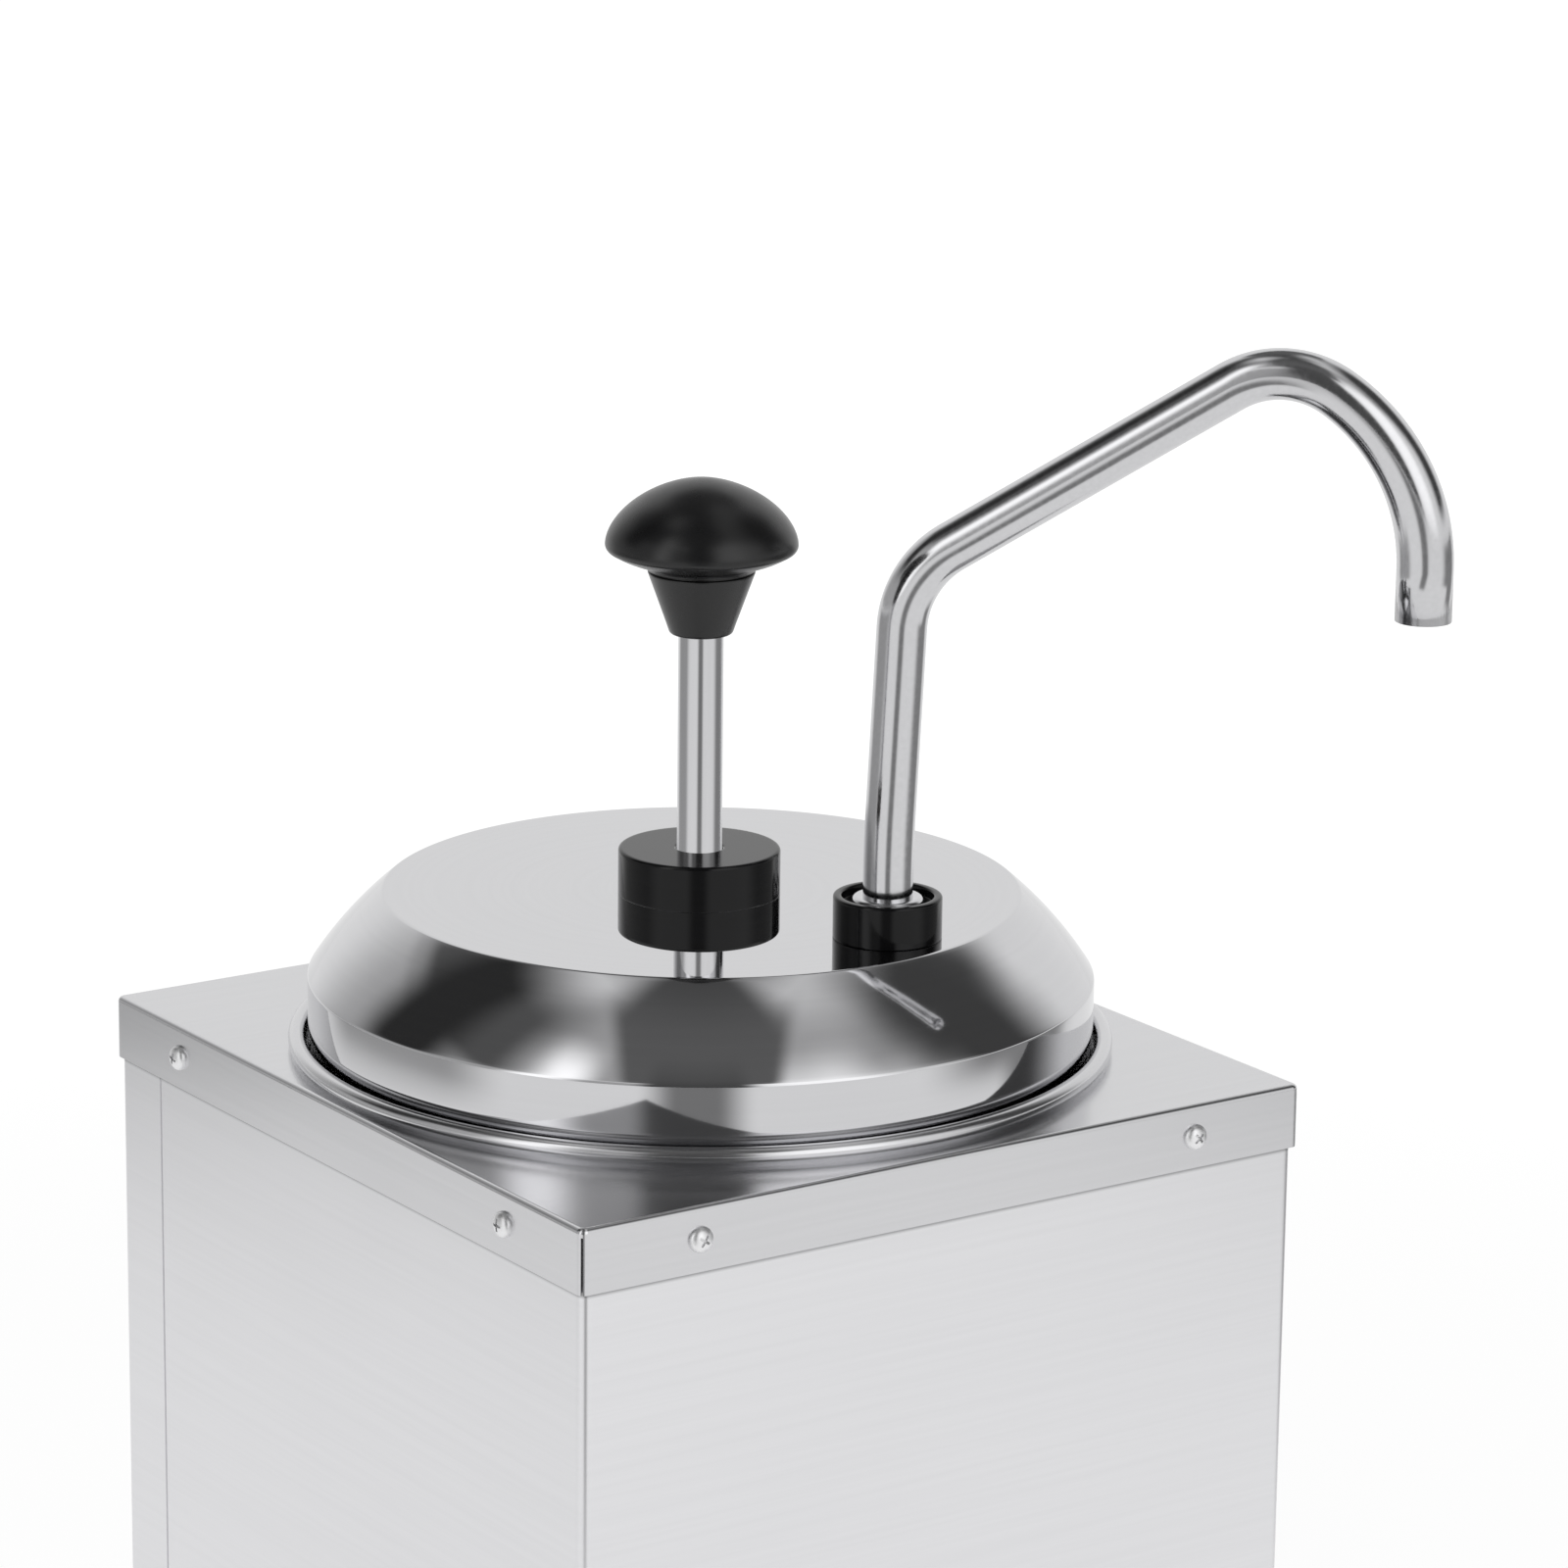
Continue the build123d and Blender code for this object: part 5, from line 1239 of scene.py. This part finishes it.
# What the polished metal mirrors, as soft-edged cards. Each has its place across and its rise over
# the floor in degrees, with half its size and the softness of its edge, and the light that it gives.
# Most stand at a bearing from the camera's side; a strip overhead is as wide all along its length.
CARDS = (
    ("bearing", 0, 400, 1, 82, 30, 10, 0.3),
    ("bearing", 20, 70, 16, 74, 34, 6, 0.44),
    ("bearing", -72, 65, 16, 15, 19, 3, 0.45),
    ("bearing", -47, 9, 7, 15, 36, 7, 1.5),
    ("bearing", 38, 18, 11, 23, 24, 11, 1.4),
    ("bearing", -98, 39, 14, 50, 17, 5, 0.1),
    ("bearing", -102, 15, 8, 44, 28, 8, 0.03),
    ("bearing", 105, 30, 16, 43, 12, 8, 0.09),
    ("bearing", 103, 20, 13, 37, 33, 3.6, 0.06),
    ("strip", 1, 32, 4, 67, 23, 3, 0.13),
    ("strip", 1, 32, 4, 92, 20, 14, 0.08),
    ("bearing", 0, 16.5, 4, 19, 32, 8, 0.08),
    ("bearing", 105, 55, 16, 71, 7, 12, 0.75),
    ("bearing", -84, 28, 18, 71, 6, 12, 0.85),
)

# The same on the floor, with the distance from the middle in centimetres in place of the rise: the
# camera's stand in front, and the room past the paper's edges to both sides.
FLOOR_CARDS = (
    ("bearing", 0, 11, 6, 300, 246, 8, 0.08),
    ("bearing", 100, 24, 14, 300, 210, 10, 0.14),
    ("bearing", 110, 14, 6, 300, 245, 12, 0.14),
    ("bearing", -96, 32, 12, 300, 214, 10, 0.3),
)

# Soft area lamps: name, place and width in metres, and power in watts.
LAMPS = (
    ("key_lamp", (-1.6, -1.5, 2.0), 1.1, 18),
    ("fill_lamp", (1.9, -1.1, 1.5), 1.2, 9),
    ("top_lamp", (0.1, 0.5, 2.4), 1.4, 9),
)
LAMP_AIM = Vector((0, 0, 0.2))

# The white paper's size in metres, how much of what is seen of it glows, and how much lighter the
# camera sees it from near the object, 0.5 m out, to far off at 1.6 m.
FLOOR_RADIUS = 9.0
PAPER_GLOW = 0.82
PAPER_LIFT = {"From Min": 0.5, "From Max": 1.6, "To Min": 0.02, "To Max": 0.2}


def card_light(tree, bearing, aside, rise, cards, light=1.0):
    """Light from a direction: even, covered by one card after the other."""
    for kind, middle, wide, soft_x, height, tall, soft_y, level in cards:
        shade = None
        across = bearing if kind == "bearing" else aside
        for value, centre, half, soft in ((across, middle, wide, soft_x), (rise, height, tall, soft_y)):
            off = add_node(tree, "ShaderNodeMath", {0: value, 1: centre}, operation="SUBTRACT")
            away = add_node(tree, "ShaderNodeMath", {0: off.outputs[0]}, operation="ABSOLUTE")
            edge = add_node(tree, "ShaderNodeMapRange", {
                "Value": away.outputs[0], "From Min": half - soft, "From Max": half + soft,
                "To Min": 1.0, "To Max": 0.0,
            }, interpolation_type="SMOOTHSTEP").outputs[0]
            shade = edge if shade is None else add_node(
                tree, "ShaderNodeMath", {0: shade, 1: edge}, operation="MULTIPLY"
            ).outputs[0]
        light = add_node(tree, "ShaderNodeMix", {"Factor": shade, 2: light, 3: level}, data_type="FLOAT").outputs[0]
    return light


def bearing_and_rise(tree, way):
    """Bearing from the camera's side, share to its right and rise over the floor of a direction."""
    front, side = (sin(CAMERA_TURN), -cos(CAMERA_TURN), 0), (cos(CAMERA_TURN), sin(CAMERA_TURN), 0)
    towards, aside = (
        add_node(tree, "ShaderNodeVectorMath", {0: way, 1: axis}, operation="DOT_PRODUCT").outputs["Value"]
        for axis in (front, side)
    )
    turn = add_node(tree, "ShaderNodeMath", {0: aside, 1: towards}, operation="ARCTAN2")
    up = add_node(tree, "ShaderNodeSeparateXYZ", {0: way}).outputs[2]
    lift = add_node(tree, "ShaderNodeMath", {0: up}, operation="ARCSINE")
    bearing, rise = (
        add_node(tree, "ShaderNodeMath", {0: angle.outputs[0]}, operation="DEGREES").outputs[0]
        for angle in (turn, lift)
    )
    share = add_node(tree, "ShaderNodeMath", {0: aside, 1: 100.0}, operation="MULTIPLY")
    return bearing, share.outputs[0], rise


def seen_directly(tree):
    """One for camera, glossy and transmission rays and nothing for the rest, and the camera's share alone."""
    path = add_node(tree, "ShaderNodeLightPath").outputs
    some = add_node(tree, "ShaderNodeMath", {0: path["Is Camera Ray"], 1: path["Is Glossy Ray"]}, operation="MAXIMUM")
    every = add_node(tree, "ShaderNodeMath", {0: some.outputs[0], 1: path["Is Transmission Ray"]}, operation="MAXIMUM")
    return every.outputs[0], path["Is Camera Ray"]


class WARMER_OT_stage(bpy.types.Operator):
    """Sets up the floor, the light and the camera"""

    bl_idname = "warmer.stage"
    bl_label = "Stage"

    def execute(self, context):
        scene, s = context.scene, settings().stage
        scene.view_settings.view_transform = "Standard"
        self.make_world(scene, s)
        self.make_floor(scene, s)
        self.make_lamps(scene)
        out = cos(CAMERA_RISE)
        back = Vector((sin(CAMERA_TURN) * out, -cos(CAMERA_TURN) * out, sin(CAMERA_RISE)))
        level = Vector((cos(CAMERA_TURN), sin(CAMERA_TURN), 0))
        upright = back.cross(level)
        right = level * cos(CAMERA_ROLL) + upright * sin(CAMERA_ROLL)
        up = upright * cos(CAMERA_ROLL) - level * sin(CAMERA_ROLL)
        lens = bpy.data.cameras.new("camera")
        lens.lens, lens.sensor_width, lens.clip_end = s.lens, FILM_WIDTH, FAR_CLIP
        camera = bpy.data.objects.new("camera", lens)
        turn = Matrix((right, up, back)).transposed().to_4x4()
        camera.matrix_world = Matrix.Translation(CAMERA_SPOT) @ turn
        scene.collection.objects.link(camera)
        scene.camera = camera
        return {"FINISHED"}

    def make_world(self, scene, s):
        """Even light on the object, the cards in what metal mirrors, and white behind it all."""
        world = bpy.data.worlds.new("studio_light")
        scene.world = world
        world.use_nodes = True
        tree = world.node_tree
        tree.nodes.clear()
        way = add_node(tree, "ShaderNodeTexCoord").outputs["Generated"]
        seen, by_camera = seen_directly(tree)
        cards = card_light(tree, *bearing_and_rise(tree, way), CARDS, s.room_light)
        mirrored = add_node(tree, "ShaderNodeMath", {0: cards, 1: by_camera}, operation="MAXIMUM").outputs[0]
        level = add_node(tree, "ShaderNodeMix", {"Factor": seen, 2: s.ambient, 3: mirrored}, data_type="FLOAT")
        sky = add_node(tree, "ShaderNodeBackground", {"Color": (1, 1, 1, 1), "Strength": level.outputs[0]})
        add_node(tree, "ShaderNodeOutputWorld", {"Surface": sky.outputs[0]})

    def make_floor(self, scene, s):
        """A wide disc of white paper that keeps the object's shadow and glows a little where it is seen."""
        bm = bmesh.new()
        bmesh.ops.create_circle(bm, cap_ends=True, radius=FLOOR_RADIUS, segments=96)
        mesh = bpy.data.meshes.new("floor")
        bm.to_mesh(mesh)
        bm.free()
        floor = bpy.data.objects.new("floor", mesh)
        scene.collection.objects.link(floor)
        finish = bpy.data.materials.new("paper_sweep_matt")
        finish.use_nodes = True
        tree = finish.node_tree
        tree.nodes.clear()
        coords = add_node(tree, "ShaderNodeTexCoord").outputs["Object"]
        bearing, aside, _ = bearing_and_rise(tree, coords)
        away = add_node(tree, "ShaderNodeVectorMath", {0: coords}, operation="LENGTH").outputs["Value"]
        in_cm = add_node(tree, "ShaderNodeMath", {0: away, 1: 100.0}, operation="MULTIPLY").outputs[0]
        mirrored = card_light(tree, bearing, aside, in_cm, FLOOR_CARDS, s.floor_light)
        seen, by_camera = seen_directly(tree)
        glow = add_node(tree, "ShaderNodeMath", {0: mirrored, 1: by_camera}, operation="MAXIMUM").outputs[0]
        paper = add_node(tree, "ShaderNodeBsdfDiffuse", {"Color": (*s.floor, 1)})
        more = add_node(
            tree, "ShaderNodeMapRange", {"Value": away, **PAPER_LIFT}, interpolation_type="SMOOTHSTEP",
        ).outputs[0]
        lifted = add_node(tree, "ShaderNodeMath", {0: by_camera, 1: more, 2: glow}, operation="MULTIPLY_ADD")
        white = add_node(tree, "ShaderNodeEmission", {"Color": (1, 1, 1, 1), "Strength": lifted.outputs[0]})
        share = add_node(tree, "ShaderNodeMath", {0: seen, 1: PAPER_GLOW}, operation="MULTIPLY").outputs[0]
        mix = add_node(tree, "ShaderNodeMixShader", {0: share, 1: paper.outputs[0], 2: white.outputs[0]})
        add_node(tree, "ShaderNodeOutputMaterial", {"Surface": mix.outputs[0]})
        mesh.materials.append(finish)

    def make_lamps(self, scene):
        """Lamps that light the object but aren't mirrored in it."""
        for name, place, size, power in LAMPS:
            light = bpy.data.lights.new(name, "AREA")
            light.shape, light.size, light.energy = "SQUARE", size, power
            lamp = bpy.data.objects.new(name, light)
            lamp.location = place
            lamp.rotation_euler = (LAMP_AIM - Vector(place)).to_track_quat("-Z", "Y").to_euler()
            lamp.visible_glossy = False
            scene.collection.objects.link(lamp)


# ---------------------------------------------------------------- panel and main

OPERATORS = (
    WARMER_OT_stage, WARMER_OT_lid, WARMER_OT_pot, WARMER_OT_wrap, WARMER_OT_collar, WARMER_OT_plunger,
    WARMER_OT_spring, WARMER_OT_spout, WARMER_OT_screws, WARMER_OT_marks, WARMER_OT_carried,
)


class WARMER_PT_panel(bpy.types.Panel):
    """Lists the warmer's pieces and settings"""

    bl_label = "Topping Warmer"
    bl_idname = "WARMER_PT_panel"
    bl_space_type = "VIEW_3D"
    bl_region_type = "UI"
    bl_category = "Warmer"

    def draw(self, context):
        for kind in OPERATORS:
            self.layout.operator(kind.bl_idname)
        for group in WARMER_PG_settings.__annotations__:
            part = getattr(context.scene.warmer, group)
            box = self.layout.box()
            box.label(text=group.title())
            for name in part.__annotations__:
                box.prop(part, name)


CLASSES = (
    WARMER_PG_colours, WARMER_PG_lid, WARMER_PG_pot, WARMER_PG_case, WARMER_PG_pump, WARMER_PG_spout,
    WARMER_PG_screws, WARMER_PG_controls, WARMER_PG_stage, WARMER_PG_settings, *OPERATORS, WARMER_PT_panel,
)


def register():
    """Registers the classes and hangs the settings on the scene."""
    for kind in CLASSES:
        bpy.utils.register_class(kind)
    bpy.types.Scene.warmer = PointerProperty(type=WARMER_PG_settings)


def unregister():
    """Undoes register."""
    del bpy.types.Scene.warmer
    for kind in reversed(CLASSES):
        bpy.utils.unregister_class(kind)


def main():
    """Makes every piece in order."""
    register()
    make_finishes()
    for kind in OPERATORS:
        group, name = kind.bl_idname.split(".")
        if getattr(getattr(bpy.ops, group), name)() != {"FINISHED"}:
            raise RuntimeError(kind.bl_label + " was not made")


if __name__ == "__main__":
    main()
